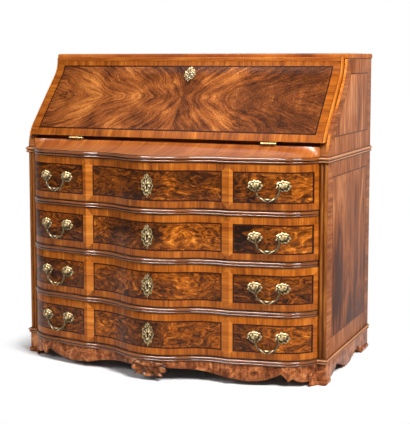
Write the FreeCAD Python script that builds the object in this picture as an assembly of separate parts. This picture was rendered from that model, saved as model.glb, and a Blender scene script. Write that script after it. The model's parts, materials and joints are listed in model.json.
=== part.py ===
import FreeCAD, Part
import math
import os

# Slant-front bureau: a serpentine chest of four long drawers under an ogee fall,
# with a writing bed and a small gallery behind the fall.
# Millimetres. X runs to the right, Y to the back and Z up.
# The origin is on the floor, under the middle of the whole plan.

V = FreeCAD.Vector

# Carcass
body_width = 1115.0
side_depth = 536.0
side_thickness = 28.0
back_thickness = 12.0
back_plank_count = 5
foot_height = 70.0
rail_height = 18.0
waist_height = 21.0
drawer_openings = [152.0, 146.0, 145.0, 143.0]
slant_height = 312.0
slant_setback = 210.0
slant_radius = 106.0
slant_inset = 4.0
top_thickness = 19.0
top_overhang = 3.0
top_corner_radius = 14.0
top_edge_bevel = 4.0

# Serpentine plan, as distances forward of the stile face
bow_reach = 173.0
hollow_reach = 108.0
hollow_x = 222.0
cusp_x = 262.0
shoulder_from_stile = 114.5
shoulder_reach = 82.0
shoulder_slope = 8.0

# Front rails moulded with a bead over a fillet, and reeded corner stiles
moulding_projection = 7.0
moulding_root = 4.0
moulding_fillet = 7.0
rail_depth = 40.0
stile_thickness = 8.0
reed_radius = 5.5
reed_pitch = 13.0

# Shoulder under the fall, and the writing bed
frieze_height = 31.0
frieze_setback = 2.0
frieze_depth = 60.0
bed_thickness = 20.0

# Fall
fall_reveal = 11.0
fall_lip = 18.0
fall_core = 12.0
fall_seat_gap = 0.6
fall_clearance = 1.6
fall_rise = 14.0
fall_top_lap = 6.0
fall_edge_radius = 4.0

# Fall hinges
hinge_x = 358.0
hinge_length = 54.0
hinge_leaf_depth = 32.0
hinge_leaf_thickness = 2.6
hinge_pin_radius = 1.9
hinge_pin_clearance = 0.2
hinge_knuckle_radius = 5.0
hinge_knuckle_sides = 12
hinge_gap = 0.4

# Drawers
drawer_front_thickness = 24.0
drawer_gap = 1.2
drawer_runner_gap = 0.3
drawer_side_thickness = 12.0
drawer_side_drop = 18.0
drawer_bottom_thickness = 8.0
drawer_bottom_rise = 6.0
drawer_back_space = 15.0
sawn_flat = 2.0
same_point = 0.01

# Brass handles: two roses with posts, and a bail that hangs between them
handle_from_cusp = 126.0
handle_rise = 6.0
post_pitch = 92.0
post_radius = 4.5
post_length = 19.0
rose_radius = 24.0
rose_sides = 8
rose_thickness = 2.5
rose_flatness = 0.75
rose_bed_gap = 0.3
dome_radius = 11.0
dome_height = 8.0
post_sides = 6
bail_stand_off = 14.0
bail_width = 5.5
bail_half_span = 37.5
bail_drop = 45.0
bail_arm = 14.0
bail_pin_radius = 2.6
bail_pin_gap = 0.5
bail_end_play = 1.0
bail_bends = 5

# Escutcheons: pierced cartouche plates
plate_thickness = 3.0
drawer_plate_height = 82.0
drawer_plate_width = 44.0
fall_plate_height = 62.0
fall_plate_width = 46.0
fall_plate_drop = 54.0
plate_points = 18
plate_lobes = 6
plate_wave = 0.22
keyhole_radius = 3.5
keyhole_sides = 8
keyhole_slot = 3.2
keyhole_length = 12.0

# Locks, with a bolt that shoots upwards
lock_width = 64.0
lock_height = 52.0
lock_depth = 14.0
lock_top_gap = 0.4
bolt_width = 22.0
bolt_thickness = 7.0
bolt_height = 26.0
bolt_gap = 0.3
bolt_travel = 8.0
bolt_end_gap = 2.0
fall_lock_width = 70.0
fall_lock_height = 44.0
fall_bolt_thickness = 5.0
fall_lock_face = 4.5

# Base: shaped aprons, corner blocks and small plinth mouldings
apron_thickness = 18.0
foot_width = 46.0
side_foot_length = 52.0
rear_foot_length = 90.0
foot_plinth_height = 14.0
foot_plinth_projection = 4.0
foot_plinth_root = 2.0
foot_plinth_fillet = 4.0
rear_block_length = 60.0

# Lower edge of the front apron: the arch is measured from the middle, the lobe from the
# cusp and the hook from the corner
apron_arch_z = 50.0
apron_cusp_z = 20.0
apron_cusp_step = 9.0
apron_cusp_rise = 3.0
apron_lobe_x = 50.0
apron_lobe_z = 16.0
apron_hook_in = 127.0
apron_hook_z = 45.0
apron_throat_in = 116.0
apron_throat_z = 36.0
apron_spur_in = 105.0
apron_spur_z = 20.0
apron_notch_in = 90.0
apron_notch_z = 30.0
apron_toe_in = 70.0
apron_toe_z = 19.0
apron_foot_z = 18.0

# Lower edge of a side apron, from the stile face and from the back
side_sweep_in = 92.0
side_sweep_z = 21.0
side_notch_in = 131.0
side_notch_z = 42.0
side_flank_in = 190.0
side_flank_z = 24.0
side_belly_in = 265.0
side_belly_z = 6.0
side_rear_flank_in = 200.0
side_rear_flank_z = 19.0
side_rear_notch_in = 133.0
side_rear_notch_z = 39.0
side_rear_sweep_in = 112.0
side_rear_sweep_z = 23.0

# Carved pendant
pendant_lobe_radius = 20.0
pendant_sides = 14
pendant_pitch = 44.0
pendant_z = 34.0
pendant_proud = 5.0
pendant_dish_radius = 13.0
pendant_dish_depth = 3.0
pendant_neck = 28.0
pendant_top_gap = 1.0

# Gallery behind the fall: an open niche, two drawers, pigeonholes above
gallery_clearance = 4.0
gallery_board = 8.0
niche_width = 240.0
gallery_drawer_height = 66.0
pigeonholes_per_side = 3
partition_scoop = 40.0
inner_drawer_gap = 1.0
inner_front_thickness = 10.0
inner_wall = 6.0
knob_radius = 8.0
knob_neck_radius = 4.0
knob_length = 16.0
knob_neck = 6.0
knob_belly = 11.0
knob_sides = 8

# Heights of the stack, from the floor up
base_top = foot_height + rail_height
opening_floors = []
level = base_top
for opening in reversed(drawer_openings):
    opening_floors.insert(0, level)
    level += opening + rail_height
waist_z = level - rail_height
waist_top = waist_z + waist_height
slant_top = waist_top + slant_height
total_height = slant_top + top_thickness
frieze_top = waist_top + frieze_height
bed_top = frieze_top + bed_thickness
fall_bottom = frieze_top + fall_rise

bolt_mortise_depth = bolt_travel + bolt_end_gap

# Places in plan
half_width = body_width / 2
opening_half = half_width - side_thickness
total_depth = side_depth + bow_reach + moulding_projection
back_y = total_depth / 2
stile_y = back_y - side_depth
inner_back = back_y - back_thickness
slant_y = stile_y + slant_inset
slant_top_y = slant_y + slant_setback
fall_half = half_width - fall_reveal
drawer_half = opening_half - drawer_gap
handle_x = cusp_x + handle_from_cusp
gallery_y = slant_top_y + fall_core + gallery_clearance

# The bow and the two hollows beside it are arcs of one radius, which meet half way
bow_drop = bow_reach - hollow_reach
bow_radius = (hollow_x**2 + bow_drop**2) / (4 * bow_drop)
cusp_reach = hollow_reach + bow_radius - math.sqrt(bow_radius**2 - (cusp_x - hollow_x) ** 2)
shoulder_x = opening_half - shoulder_from_stile


# Basic shapes


def line(a, b):
    return Part.makeLine(a, b)


def arc(start, middle, end):
    return Part.Arc(start, middle, end).toShape()


def tangent_arc(start, end, direction):
    """The arc that leaves start along direction and runs to end."""
    chord = end - start
    along = V(chord).normalize()
    across = direction - along * direction.dot(along)
    lean = math.atan2(across.Length, direction.dot(along))
    rise = chord.Length / 2 * math.tan(lean / 2)
    return arc(start, start + chord / 2 + across.normalize() * rise, end)


def box(x0, x1, y0, y1, z0, z1):
    return Part.makeBox(x1 - x0, y1 - y0, z1 - z0, V(x0, y0, z0))


def closed_wire(edges):
    return Part.Wire(Part.__sortEdges__(edges))


def flat(points):
    """A flat face with the given corners."""
    return Part.Face(Part.makePolygon(points + points[:1]))


def ring(radius, height, sides, centre):
    """Corners of a regular or flattened polygon that faces the front."""
    points = []
    for i in range(sides):
        turn = 2 * math.pi * (i + 0.5) / sides
        points.append(centre + V(radius * math.cos(turn), 0, height * math.sin(turn)))
    return points


def faceted(rings):
    """A solid with flat facets between rings of one proportion, from the back to the front."""
    faces = [flat(rings[0]), flat(rings[-1])]
    for near, far in zip(rings, rings[1:]):
        faces += [flat([near[i - 1], near[i], far[i], far[i - 1]]) for i in range(len(near))]
    return Part.makeSolid(Part.makeShell(faces))


def bar(start, along, radius, sides):
    """A many-sided bar along X."""
    points = []
    for i in range(sides):
        turn = 2 * math.pi * (i + 0.5) / sides
        points.append(start + V(0, radius * math.cos(turn), radius * math.sin(turn)))
    return flat(points).extrude(V(along, 0, 0))


def prism(edges, direction):
    return Part.Face(closed_wire(edges)).extrude(direction)


def mirrored(shape):
    """The same piece on the other side of the bureau."""
    return shape.mirror(V(0, 0, 0), V(1, 0, 0))


def mirrored_point(point):
    return V(-point.x, point.y, point.z)


def first_solid(shape):
    return shape.Solids[0]


# Lines and boards on the serpentine plan


def front_edges(shift, z, share=1.0):
    """The serpentine line from left to right, moved forward by shift; share 0 makes it straight."""
    def point(x, reach):
        return V(x, stile_y - share * reach - shift, z)

    turn = point(hollow_x / 2, (bow_reach + hollow_reach) / 2)
    cusp = point(cusp_x, cusp_reach)
    shoulder = point(shoulder_x, shoulder_reach)
    end = point(opening_half, 0)
    if share == 0:
        bow = line(mirrored_point(turn), turn)
        right = [line(turn, cusp), line(cusp, shoulder), line(shoulder, end)]
    else:
        slope = V(1, share * math.tan(math.radians(shoulder_slope)), 0)
        bow = arc(mirrored_point(turn), point(0, bow_reach), turn)
        right = [
            arc(turn, point(hollow_x, hollow_reach), cusp),
            tangent_arc(shoulder, cusp, slope * -1),
            tangent_arc(shoulder, end, slope),
        ]
    return [mirrored(edge) for edge in reversed(right)] + [bow] + right


def run_edges(shift, z):
    """The serpentine line with its straight stretches across the two stiles."""
    y = stile_y - shift
    left = line(V(-half_width - shift, y, z), V(-opening_half, y, z))
    right = line(V(opening_half, y, z), V(half_width + shift, y, z))
    return [left] + front_edges(shift, z) + [right]


def line_ends(edges):
    """Left and right ends of a line of edges."""
    points = [vertex.Point for edge in edges for vertex in edge.Vertexes]
    return min(points, key=lambda p: p.x), max(points, key=lambda p: p.x)


def strip_wire(outer, inner):
    """Closes the space between two lines that both run from left to right."""
    outer_left, outer_right = line_ends(outer)
    inner_left, inner_right = line_ends(inner)
    ends = [line(outer_left, inner_left), line(outer_right, inner_right)]
    return closed_wire(outer + inner + ends)


def sawn(edges):
    """A hidden line as the saw leaves it, in flats that keep close to the curve."""
    points = [point for edge in edges for point in edge.discretize(Deflection=sawn_flat)]
    points.sort(key=lambda point: point.x)
    return [line(a, b) for a, b in zip(points, points[1:]) if (b - a).Length > same_point]


def board_on_plan(z, height, back, shift):
    """A level board with a sawn serpentine front edge and a straight back edge."""
    front = sawn(front_edges(shift, z))
    edge = [line(V(-opening_half, back, z), V(opening_half, back, z))]
    return Part.Face(strip_wire(front, edge)).extrude(V(0, 0, height))


def band_on_plan(z, height, front_shift, back_shift):
    """An upright board with a serpentine front and a sawn back."""
    wire = strip_wire(front_edges(front_shift, z), sawn(front_edges(back_shift, z)))
    return Part.Face(wire).extrude(V(0, 0, height))


def reach_at(x):
    """How far the drawer face stands forward of the stile face at x."""
    probe = line(V(x, stile_y - 2 * bow_reach, 0), V(x, back_y, 0))
    front = Part.Wire(front_edges(0.0, 0.0))
    return stile_y - front.distToShape(probe)[1][0][0].y


# Front rails and mouldings


def moulding_steps(z, height, projection, root, fillet):
    """Level, height and projection of each step: a fillet, and a bead over it."""
    return [(z, fillet, root), (z + fillet, height - fillet, projection)]


carcass_moulding = (moulding_projection, moulding_root, moulding_fillet)
foot_moulding = (foot_plinth_projection, foot_plinth_root, foot_plinth_fillet)


def moulded(z, height, outline_of, profile=carcass_moulding):
    """Stacks the steps of a moulding whose outline at a projection and level is given."""
    steps = [
        Part.Face(outline_of(stand, level)).extrude(V(0, 0, tall))
        for level, tall, stand in moulding_steps(z, height, *profile)
    ]
    return first_solid(steps[0].fuse(steps[1:]).removeSplitter())


def rail_outline(stand, z):
    """A rail between the stiles, with a serpentine front and a straight back."""
    y = stile_y + rail_depth
    back = [line(V(-opening_half, y, z), V(opening_half, y, z))]
    return strip_wire(front_edges(stand, z), back)


def wrapped_outline(stand, z):
    """A rail whose moulded edge runs on across the stiles to mitred corners."""
    y = stile_y + rail_depth
    points = [
        V(half_width + stand, stile_y - stand, z),
        V(half_width, stile_y, z),
        V(opening_half, stile_y, z),
        V(opening_half, y, z),
    ]
    points += [mirrored_point(point) for point in reversed(points)]
    back = [line(a, b) for a, b in zip(points, points[1:])]
    return closed_wire(run_edges(stand, z) + back)


def side_outline(stand, z):
    """A length on the right side, mitred to the front at the corner."""
    corners = [
        V(half_width, stile_y, z),
        V(half_width + stand, stile_y - stand, z),
        V(half_width + stand, back_y, z),
        V(half_width, back_y, z),
    ]
    return Part.makePolygon(corners + corners[:1])


def wrapped_moulding(z, height, mortise=None):
    front = moulded(z, height, wrapped_outline)
    if mortise:
        front = first_solid(front.cut(mortise))
    return [front] + pair(moulded(z, height, side_outline))


def front_rail(z):
    return first_solid(moulded(z, rail_height, rail_outline).cut(bolt_mortise(z)))


def dust_board(z, height):
    """A plain board behind a front rail."""
    return box(-opening_half, opening_half, stile_y + rail_depth, inner_back, z, z + height)


# The ogee of the slant, in the YZ plane


def slant_turn():
    """Angle of the straight middle of the ogee, measured from upright."""
    across = slant_setback - 2 * slant_radius
    straight = math.sqrt(across**2 + slant_height**2 - 4 * slant_radius**2)
    return math.atan2(across, slant_height) + math.atan2(2 * slant_radius, straight)


def slant_edges(offset, x, top):
    """The ogee moved outwards by offset, from the waist up to the level called top."""
    turn = slant_turn()
    lower = V(x, slant_y + slant_radius, waist_top)
    upper = V(x, slant_top_y - slant_radius, slant_top)
    low_radius = slant_radius + offset
    high_radius = slant_radius - offset

    def on_lower(angle):
        return lower + V(0, -low_radius * math.cos(angle), low_radius * math.sin(angle))

    def on_upper(angle):
        return upper + V(0, high_radius * math.cos(angle), -high_radius * math.sin(angle))

    edges = [
        arc(on_lower(0), on_lower(turn / 2), on_lower(turn)),
        line(on_lower(turn), on_upper(turn)),
        arc(on_upper(turn), on_upper(turn / 2), on_upper(0)),
    ]
    if top > slant_top:
        edges.append(line(on_upper(0), V(x, on_upper(0).y, top)))
    return edges


def slant_slab(inner, outer, half, bottom, top):
    """A board on the ogee between two offsets, cut level at its bottom and top."""
    reach = max(top, slant_top) + fall_top_lap
    outer_line = slant_edges(outer, -half, reach)
    inner_line = slant_edges(inner, -half, reach)
    ends = [
        line(outer_line[0].firstVertex().Point, inner_line[0].firstVertex().Point),
        line(outer_line[-1].lastVertex().Point, inner_line[-1].lastVertex().Point),
    ]
    slab = prism(outer_line + inner_line + ends, V(2 * half, 0, 0))
    return first_solid(slab.common(box(-half, half, -total_depth, total_depth, bottom, top)))


def slant_at(offset, z):
    """Depth of the ogee, moved outwards by offset, at a level on its lower arc."""
    radius = slant_radius + offset
    return slant_y + slant_radius - math.sqrt(radius**2 - (z - waist_top) ** 2)


bed_front = slant_at(-fall_core, bed_top) + fall_clearance
hinge_y = slant_at(fall_seat_gap + fall_lip, fall_bottom)
hinge_z = frieze_top + fall_rise / 2


# Carcass


def side_board():
    """The right side: rebated for its stile below the waist, ogee above it."""
    x = opening_half
    rebate_y = stile_y + stile_thickness
    front = [
        V(x, back_y, foot_height),
        V(x, stile_y, foot_height),
        V(x, stile_y, base_top),
        V(x, rebate_y, base_top),
        V(x, rebate_y, waist_z),
        V(x, stile_y, waist_z),
        V(x, stile_y, waist_top),
        V(x, slant_y, waist_top),
    ]
    outline = [line(a, b) for a, b in zip(front, front[1:])]
    outline += slant_edges(0.0, x, slant_top)
    outline += [
        line(V(x, slant_top_y, slant_top), V(x, back_y, slant_top)),
        line(V(x, back_y, slant_top), V(x, back_y, foot_height)),
    ]
    return prism(outline, V(side_thickness, 0, 0))


def corner_stile():
    """The right stile: a strip with two upright reeds, between base and waist mouldings."""
    height = waist_z - base_top
    back = stile_y + stile_thickness
    strip = box(opening_half, half_width, stile_y + reed_radius, back, base_top, waist_z)
    middle = opening_half + side_thickness / 2
    for side in (-1, 1):
        x = middle + side * reed_pitch / 2
        strip = strip.fuse(Part.makeCylinder(reed_radius, height, V(x, stile_y + reed_radius, base_top)))
    outline = box(opening_half, half_width, stile_y, back, base_top, waist_z)
    return first_solid(strip.common(outline).removeSplitter())


def top_board():
    half = half_width + top_overhang
    board = box(-half, half, slant_top_y, back_y, slant_top, total_height)
    uprights = [e for e in board.Edges if e.BoundBox.ZLength > 1 and e.CenterOfMass.y < slant_top_y + 1]
    board = board.makeFillet(top_corner_radius, uprights)
    rim = [e for e in board.Edges if e.BoundBox.ZLength < 1 and e.CenterOfMass.y < back_y - 1]
    board = board.makeChamfer(top_edge_bevel, rim)
    return first_solid(board.cut(fall_bolt_mortise()))


def back_planks():
    width = 2 * opening_half / back_plank_count
    lefts = [-opening_half + i * width for i in range(back_plank_count)]
    return [box(x, x + width, inner_back, back_y, foot_height, slant_top) for x in lefts]


def bolt_mortise(z):
    """A blind slot in the underside of a board, over a drawer's lock bolt."""
    y = bolt_y()
    half = bolt_width / 2 + bolt_gap
    deep = bolt_thickness / 2 + bolt_gap
    return box(-half, half, y - deep, y + deep, z, z + bolt_mortise_depth)


def frieze_front():
    """The shoulder that leads from the serpentine waist to the straight hinge line."""
    y = stile_y + frieze_depth
    wires = []
    for z, share in ((waist_top, 1.0), (frieze_top, 0.0)):
        back = [line(V(-opening_half, y, z), V(opening_half, y, z))]
        wires.append(strip_wire(front_edges(-frieze_setback, z, share), back))
    return Part.makeLoft(wires, True, True)


def writing_bed():
    return box(-opening_half, opening_half, bed_front, inner_back, frieze_top, bed_top)


# Base


def apron_edges():
    """Lower edge of the right half of the front apron, from the middle to the corner."""
    def at(x, z):
        return V(x, -total_depth, z)

    def from_corner(distance, z):
        return at(half_width - distance, z)

    arch_end = at(cusp_x, apron_cusp_z)
    lobe_start = at(cusp_x + apron_cusp_step, apron_cusp_z + apron_cusp_rise)
    hook = from_corner(apron_hook_in, apron_hook_z)
    spur = from_corner(apron_spur_in, apron_spur_z)
    notch = from_corner(apron_notch_in, apron_notch_z)
    foot = from_corner(foot_width, apron_foot_z)
    lobe = at(cusp_x + apron_lobe_x, apron_lobe_z)
    throat = from_corner(apron_throat_in, apron_throat_z)
    toe = from_corner(apron_toe_in, apron_toe_z)
    return [
        tangent_arc(at(0, apron_arch_z), arch_end, V(1, 0, 0)),
        line(arch_end, lobe_start),
        arc(lobe_start, lobe, hook),
        arc(hook, throat, spur),
        line(spur, notch),
        arc(notch, toe, foot),
        line(foot, from_corner(foot_width, 0)),
        line(from_corner(foot_width, 0), from_corner(0, 0)),
        line(from_corner(0, 0), from_corner(0, foot_height)),
    ]


def apron_front():
    band = Part.Face(strip_wire(run_edges(0.0, 0.0), sawn(run_edges(-apron_thickness, 0.0))))
    band = band.extrude(V(0, 0, foot_height))
    right = apron_edges()
    left = [mirrored(edge) for edge in right]
    top = line(V(-half_width, -total_depth, foot_height), V(half_width, -total_depth, foot_height))
    outline = prism(left + right + [top], V(0, 2 * total_depth, 0))
    return first_solid(band.common(outline))


def apron_side():
    """The right apron, with a belly between two hooked notches."""
    x = half_width - apron_thickness

    def front(distance, z):
        return V(x, stile_y + distance, z)

    def rear(distance, z):
        return V(x, back_y - distance, z)

    step = front(side_foot_length, foot_plinth_height)
    notch = front(side_notch_in, side_notch_z)
    rear_notch = rear(side_rear_notch_in, side_rear_notch_z)
    rear_foot = rear(rear_foot_length, 0)
    belly = front(side_belly_in, side_belly_z)
    flank = front(side_flank_in, side_flank_z)
    rear_flank = rear(side_rear_flank_in, side_rear_flank_z)
    level = V(0, 1, 0)
    outline = [
        line(front(0, foot_height), front(0, 0)),
        line(front(0, 0), front(side_foot_length, 0)),
        line(front(side_foot_length, 0), step),
        arc(step, front(side_sweep_in, side_sweep_z), notch),
        line(notch, flank),
        tangent_arc(belly, flank, level * -1),
        tangent_arc(belly, rear_flank, level),
        line(rear_flank, rear_notch),
        arc(rear_notch, rear(side_rear_sweep_in, side_rear_sweep_z), rear_foot),
        line(rear_foot, rear(0, 0)),
        line(rear(0, 0), rear(0, foot_height)),
        line(rear(0, foot_height), front(0, foot_height)),
    ]
    corners = [
        V(half_width, stile_y, 0),
        V(half_width, back_y, 0),
        V(x, back_y, 0),
        V(x, stile_y + apron_thickness, 0),
    ]
    mitred = flat(corners).extrude(V(0, 0, foot_height))
    return first_solid(prism(outline, V(apron_thickness, 0, 0)).common(mitred))


def apron_pendant(apron):
    """Three dished scrolls that hang side by side from the middle of the front apron."""
    face = stile_y - bow_reach - pendant_proud
    depth = pendant_proud + apron_thickness / 2
    half = pendant_pitch + pendant_neck / 2
    carving = box(-half, half, face, face + depth, pendant_z, foot_height - pendant_top_gap)
    for i in (-1, 0, 1):
        centre = V(i * pendant_pitch, face, pendant_z)
        lobe = ring(pendant_lobe_radius, pendant_lobe_radius, pendant_sides, centre)
        carving = carving.fuse(flat(lobe).extrude(V(0, depth, 0)))
    for i in (-1, 0, 1):
        centre = V(i * pendant_pitch, face, pendant_z)
        dish = ring(pendant_dish_radius, pendant_dish_radius, pendant_sides, centre)
        carving = carving.cut(flat(dish).extrude(V(0, pendant_dish_depth, 0)))
    return first_solid(carving.cut(apron).removeSplitter())


def foot_blocks():
    """Corner blocks behind the aprons, which carry the carcass."""
    x1 = half_width - apron_thickness
    x0 = half_width - foot_width
    front_y = stile_y + apron_thickness
    front = box(x0, x1, front_y, stile_y + side_foot_length, 0, foot_height)
    rear = box(x0, x1, back_y - rear_block_length, back_y, 0, foot_height)
    return [front, rear, mirrored(front), mirrored(rear)]


def foot_plinths():
    """Short lengths of stepped moulding round the bottom of each foot."""
    def band_outline(stand, z):
        return strip_wire(run_edges(stand, z), run_edges(0.0, z))

    front = moulded(0, foot_plinth_height, band_outline, foot_moulding)
    side = moulded(0, foot_plinth_height, side_outline, foot_moulding)
    far = half_width + foot_plinth_projection
    high = foot_plinth_height
    right = [
        front.common(box(half_width - foot_width, far, -total_depth, back_y, 0, high)),
        side.common(box(half_width, far, -total_depth, stile_y + side_foot_length, 0, high)),
        side.common(box(half_width, far, back_y - rear_foot_length, back_y, 0, high)),
    ]
    right = [first_solid(piece) for piece in right]
    return right + [mirrored(piece) for piece in right]


# Fall and its hinges


def fall_board():
    lip = slant_slab(
        fall_seat_gap, fall_seat_gap + fall_lip, fall_half, fall_bottom, slant_top + fall_top_lap
    )
    top_front = slant_top_y - fall_seat_gap - fall_lip
    arris = [e for e in lip.Edges if is_along(e, top_front, slant_top + fall_top_lap)]
    lip = lip.makeFillet(fall_edge_radius, arris)
    core = slant_slab(
        -fall_core, fall_seat_gap, opening_half - fall_clearance, fall_bottom, slant_top - fall_clearance
    )
    board = first_solid(lip.fuse(core).removeSplitter())
    return first_solid(board.cut(fall_lock_blank(bolt_gap)))


def is_along(edge, y, z):
    """Whether an edge runs along X at the given depth and height."""
    centre = edge.CenterOfMass
    return abs(centre.y - y) < 0.1 and abs(centre.z - z) < 0.1


def hinge_knuckle(x, along, radius):
    """A many-sided barrel on the hinge line, from x, as long as along."""
    return bar(V(x, hinge_y, hinge_z), along, radius, hinge_knuckle_sides)


def hinge_leaf(is_bed):
    """One leaf of the right hinge; the pin is fast in the bed leaf and the fall's knuckle turns on it."""
    x0 = hinge_x - hinge_length / 2
    half = hinge_length / 2
    z0 = frieze_top if is_bed else fall_bottom - hinge_leaf_thickness
    leaf = box(x0, x0 + hinge_length, hinge_y, hinge_y + hinge_leaf_depth, z0, z0 + hinge_leaf_thickness)
    own, other = (x0, hinge_x) if is_bed else (hinge_x, x0)
    leaf = leaf.cut(hinge_knuckle(other, half, hinge_knuckle_radius + hinge_gap))
    leaf = leaf.fuse(hinge_knuckle(own + hinge_gap, half - 2 * hinge_gap, hinge_knuckle_radius))
    if is_bed:
        leaf = leaf.fuse(hinge_knuckle(hinge_x - hinge_gap, half, hinge_pin_radius))
    else:
        leaf = leaf.cut(hinge_knuckle(hinge_x, half, hinge_pin_radius + hinge_pin_clearance))
    return first_solid(leaf.removeSplitter())


def pair(piece):
    return [piece, mirrored(piece)]


# Locks


def bolt_y():
    """Depth of a drawer's lock bolt, behind the back of the drawer front."""
    return stile_y - bow_reach + drawer_front_thickness + lock_depth / 2


def drawer_bolt(top):
    y = bolt_y()
    half = bolt_width / 2
    deep = bolt_thickness / 2
    return box(-half, half, y - deep, y + deep, top - bolt_height, top)


def drawer_lock(top, front):
    """A lock case on the back of a drawer front, with a way for its bolt."""
    y0 = stile_y - bow_reach
    y1 = y0 + drawer_front_thickness + lock_depth
    half = lock_width / 2
    case = box(-half, half, y0, y1, top - lock_height, top).cut(front)
    y = bolt_y()
    deep = bolt_thickness / 2 + bolt_gap
    wide = bolt_width / 2 + bolt_gap
    way = box(-wide, wide, y - deep, y + deep, top - bolt_height - bolt_gap, top)
    return max(case.cut(way).Solids, key=lambda solid: solid.Volume)


def fall_lock_top():
    """The lock case is flush with the top of the fall's inner thickness."""
    return slant_top - fall_clearance


def fall_bolt_y():
    return slant_top_y + fall_core - fall_lock_face - fall_bolt_thickness / 2


def fall_lock_blank(gap):
    """The space that the fall's lock case fills, let into the back of the fall."""
    half = fall_lock_width / 2 + gap
    top = fall_lock_top()
    low = top - fall_lock_height - gap
    return slant_slab(-fall_core, gap - bolt_gap, half, low, top)


def fall_bolt(extra=0.0, rise=0.0):
    y = fall_bolt_y()
    half = bolt_width / 2 + extra
    deep = fall_bolt_thickness / 2 + extra
    top = fall_lock_top()
    return box(-half, half, y - deep, y + deep, top - bolt_height - extra, top + rise)


def fall_bolt_way():
    return fall_bolt(bolt_gap, fall_clearance)


def fall_bolt_mortise():
    return fall_bolt(bolt_gap, fall_clearance + bolt_mortise_depth)


def fall_lock():
    return first_solid(fall_lock_blank(0.0).cut(fall_bolt_way()))


# Escutcheons


def cartouche(width, height, middle_z):
    """A pierced plate with a waved outline, seen from the front, as a long bar towards the back."""
    points = []
    for i in range(plate_points):
        turn = 2 * math.pi * i / plate_points
        wave = 1 - plate_wave * (0.5 - 0.5 * math.cos(plate_lobes * turn))
        x = width / 2 * wave * math.sin(turn)
        points.append(V(x, -total_depth, middle_z + height / 2 * wave * math.cos(turn)))
    through = 2 * total_depth
    plate = flat(points).extrude(V(0, through, 0))
    hole = ring(keyhole_radius, keyhole_radius, keyhole_sides, V(0, -total_depth, middle_z))
    hole = flat(hole).extrude(V(0, through, 0))
    half = keyhole_slot / 2
    slot = box(-half, half, -total_depth, total_depth, middle_z - keyhole_length, middle_z)
    return plate.cut(hole.fuse(slot))


def drawer_escutcheon(middle_z):
    """A flat plate that bears on the crown of the bow."""
    face = stile_y - bow_reach
    half = drawer_plate_width
    slab = box(-half, half, face - plate_thickness, face, 0, total_height)
    return first_solid(cartouche(drawer_plate_width, drawer_plate_height, middle_z).common(slab))


def fall_escutcheon():
    middle_z = slant_top - fall_plate_drop
    face = fall_seat_gap + fall_lip
    low = middle_z - fall_plate_height
    slab = slant_slab(face, face + plate_thickness, fall_plate_width, low, slant_top)
    return first_solid(cartouche(fall_plate_width, fall_plate_height, middle_z).common(slab))


# Handles


def handle_turn():
    """How far the right handle is turned to lie along the curve of the drawer."""
    inner = reach_at(handle_x - post_pitch / 2)
    outer = reach_at(handle_x + post_pitch / 2)
    return math.atan2(inner - outer, post_pitch)


def handle_foot():
    """Point on the right drawer face between the two posts, at floor level."""
    inner = reach_at(handle_x - post_pitch / 2)
    outer = reach_at(handle_x + post_pitch / 2)
    return V(handle_x, stile_y - (inner + outer) / 2, 0)


def placed_handle(shape, z):
    """Moves a piece from the handle's own frame to the right side of a drawer."""
    shape.rotate(V(0, 0, 0), V(0, 0, 1), math.degrees(handle_turn()))
    shape.translate(handle_foot() + V(0, 0, z))
    return shape


def rose_bed(post_x):
    """Tilt and stand-off, against the handle's own line, of the plane that a rose beds on."""
    left = reach_at(post_x - rose_radius)
    middle = reach_at(post_x)
    right = reach_at(post_x + rose_radius)
    slope = math.atan2(left - right, 2 * rose_radius)
    hollow = ((left + right) / 2 - middle) * math.cos(slope)
    return slope - handle_turn(), max(hollow, 0.0) + rose_bed_gap


def rose(x):
    """An oval rose that rises to a dome, with a post, in the handle's own frame."""
    tilt, stand = rose_bed(handle_x + x)
    seat = V(x, -stand, 0)
    rim = seat - V(0, rose_thickness, 0)
    rings = [
        ring(rose_radius, rose_flatness * rose_radius, rose_sides, seat),
        ring(rose_radius, rose_flatness * rose_radius, rose_sides, rim),
        ring(dome_radius, rose_flatness * dome_radius, rose_sides, seat - V(0, dome_height, 0)),
    ]
    body = faceted(rings)
    body.rotate(seat, V(0, 0, 1), math.degrees(tilt))
    post = flat(ring(post_radius, post_radius, post_sides, rim))
    post = post.extrude(V(0, -post_length - rim.y, 0))
    inner = x - math.copysign(2 * post_radius, x)
    hole = pin_bar(min(x, inner), max(x, inner), bail_pin_radius + bail_pin_gap)
    return first_solid(body.fuse(post.cut(hole)))


def pin_bar(x0, x1, radius):
    """A bar along the bail's axis, in the handle's own frame."""
    return bar(V(x0, -bail_stand_off, 0), x1 - x0, radius, post_sides)


def handle_roses(z):
    pieces = []
    for side in (-1, 1):
        pieces += pair(placed_handle(rose(side * post_pitch / 2), z))
    return pieces


def bail_line(grow):
    """Points that follow the bail's middle line at a distance, from the right arm to the left."""
    y = -bail_stand_off - bail_width / 2
    bend = bail_drop - bail_arm + grow
    centre = V(bail_half_span - bail_drop + bail_arm, y, -bail_arm)
    right = [V(bail_half_span + grow, y, bail_width / 2)]
    for i in range(bail_bends + 1):
        turn = math.pi / 2 * i / bail_bends
        right.append(centre + V(bend * math.cos(turn), 0, -bend * math.sin(turn)))
    return right + [mirrored_point(point) for point in reversed(right)]


def bail(z):
    """The right bail: a bow of square section, with a pin at each end that turns in a post."""
    points = bail_line(bail_width / 2) + list(reversed(bail_line(-bail_width / 2)))
    bow = flat(points).extrude(V(0, bail_width, 0))
    pin = pin_bar(bail_half_span, post_pitch / 2 - bail_end_play, bail_pin_radius)
    return placed_handle(first_solid(bow.fuse(pair(pin)).removeSplitter()), z)


# Drawers


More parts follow.
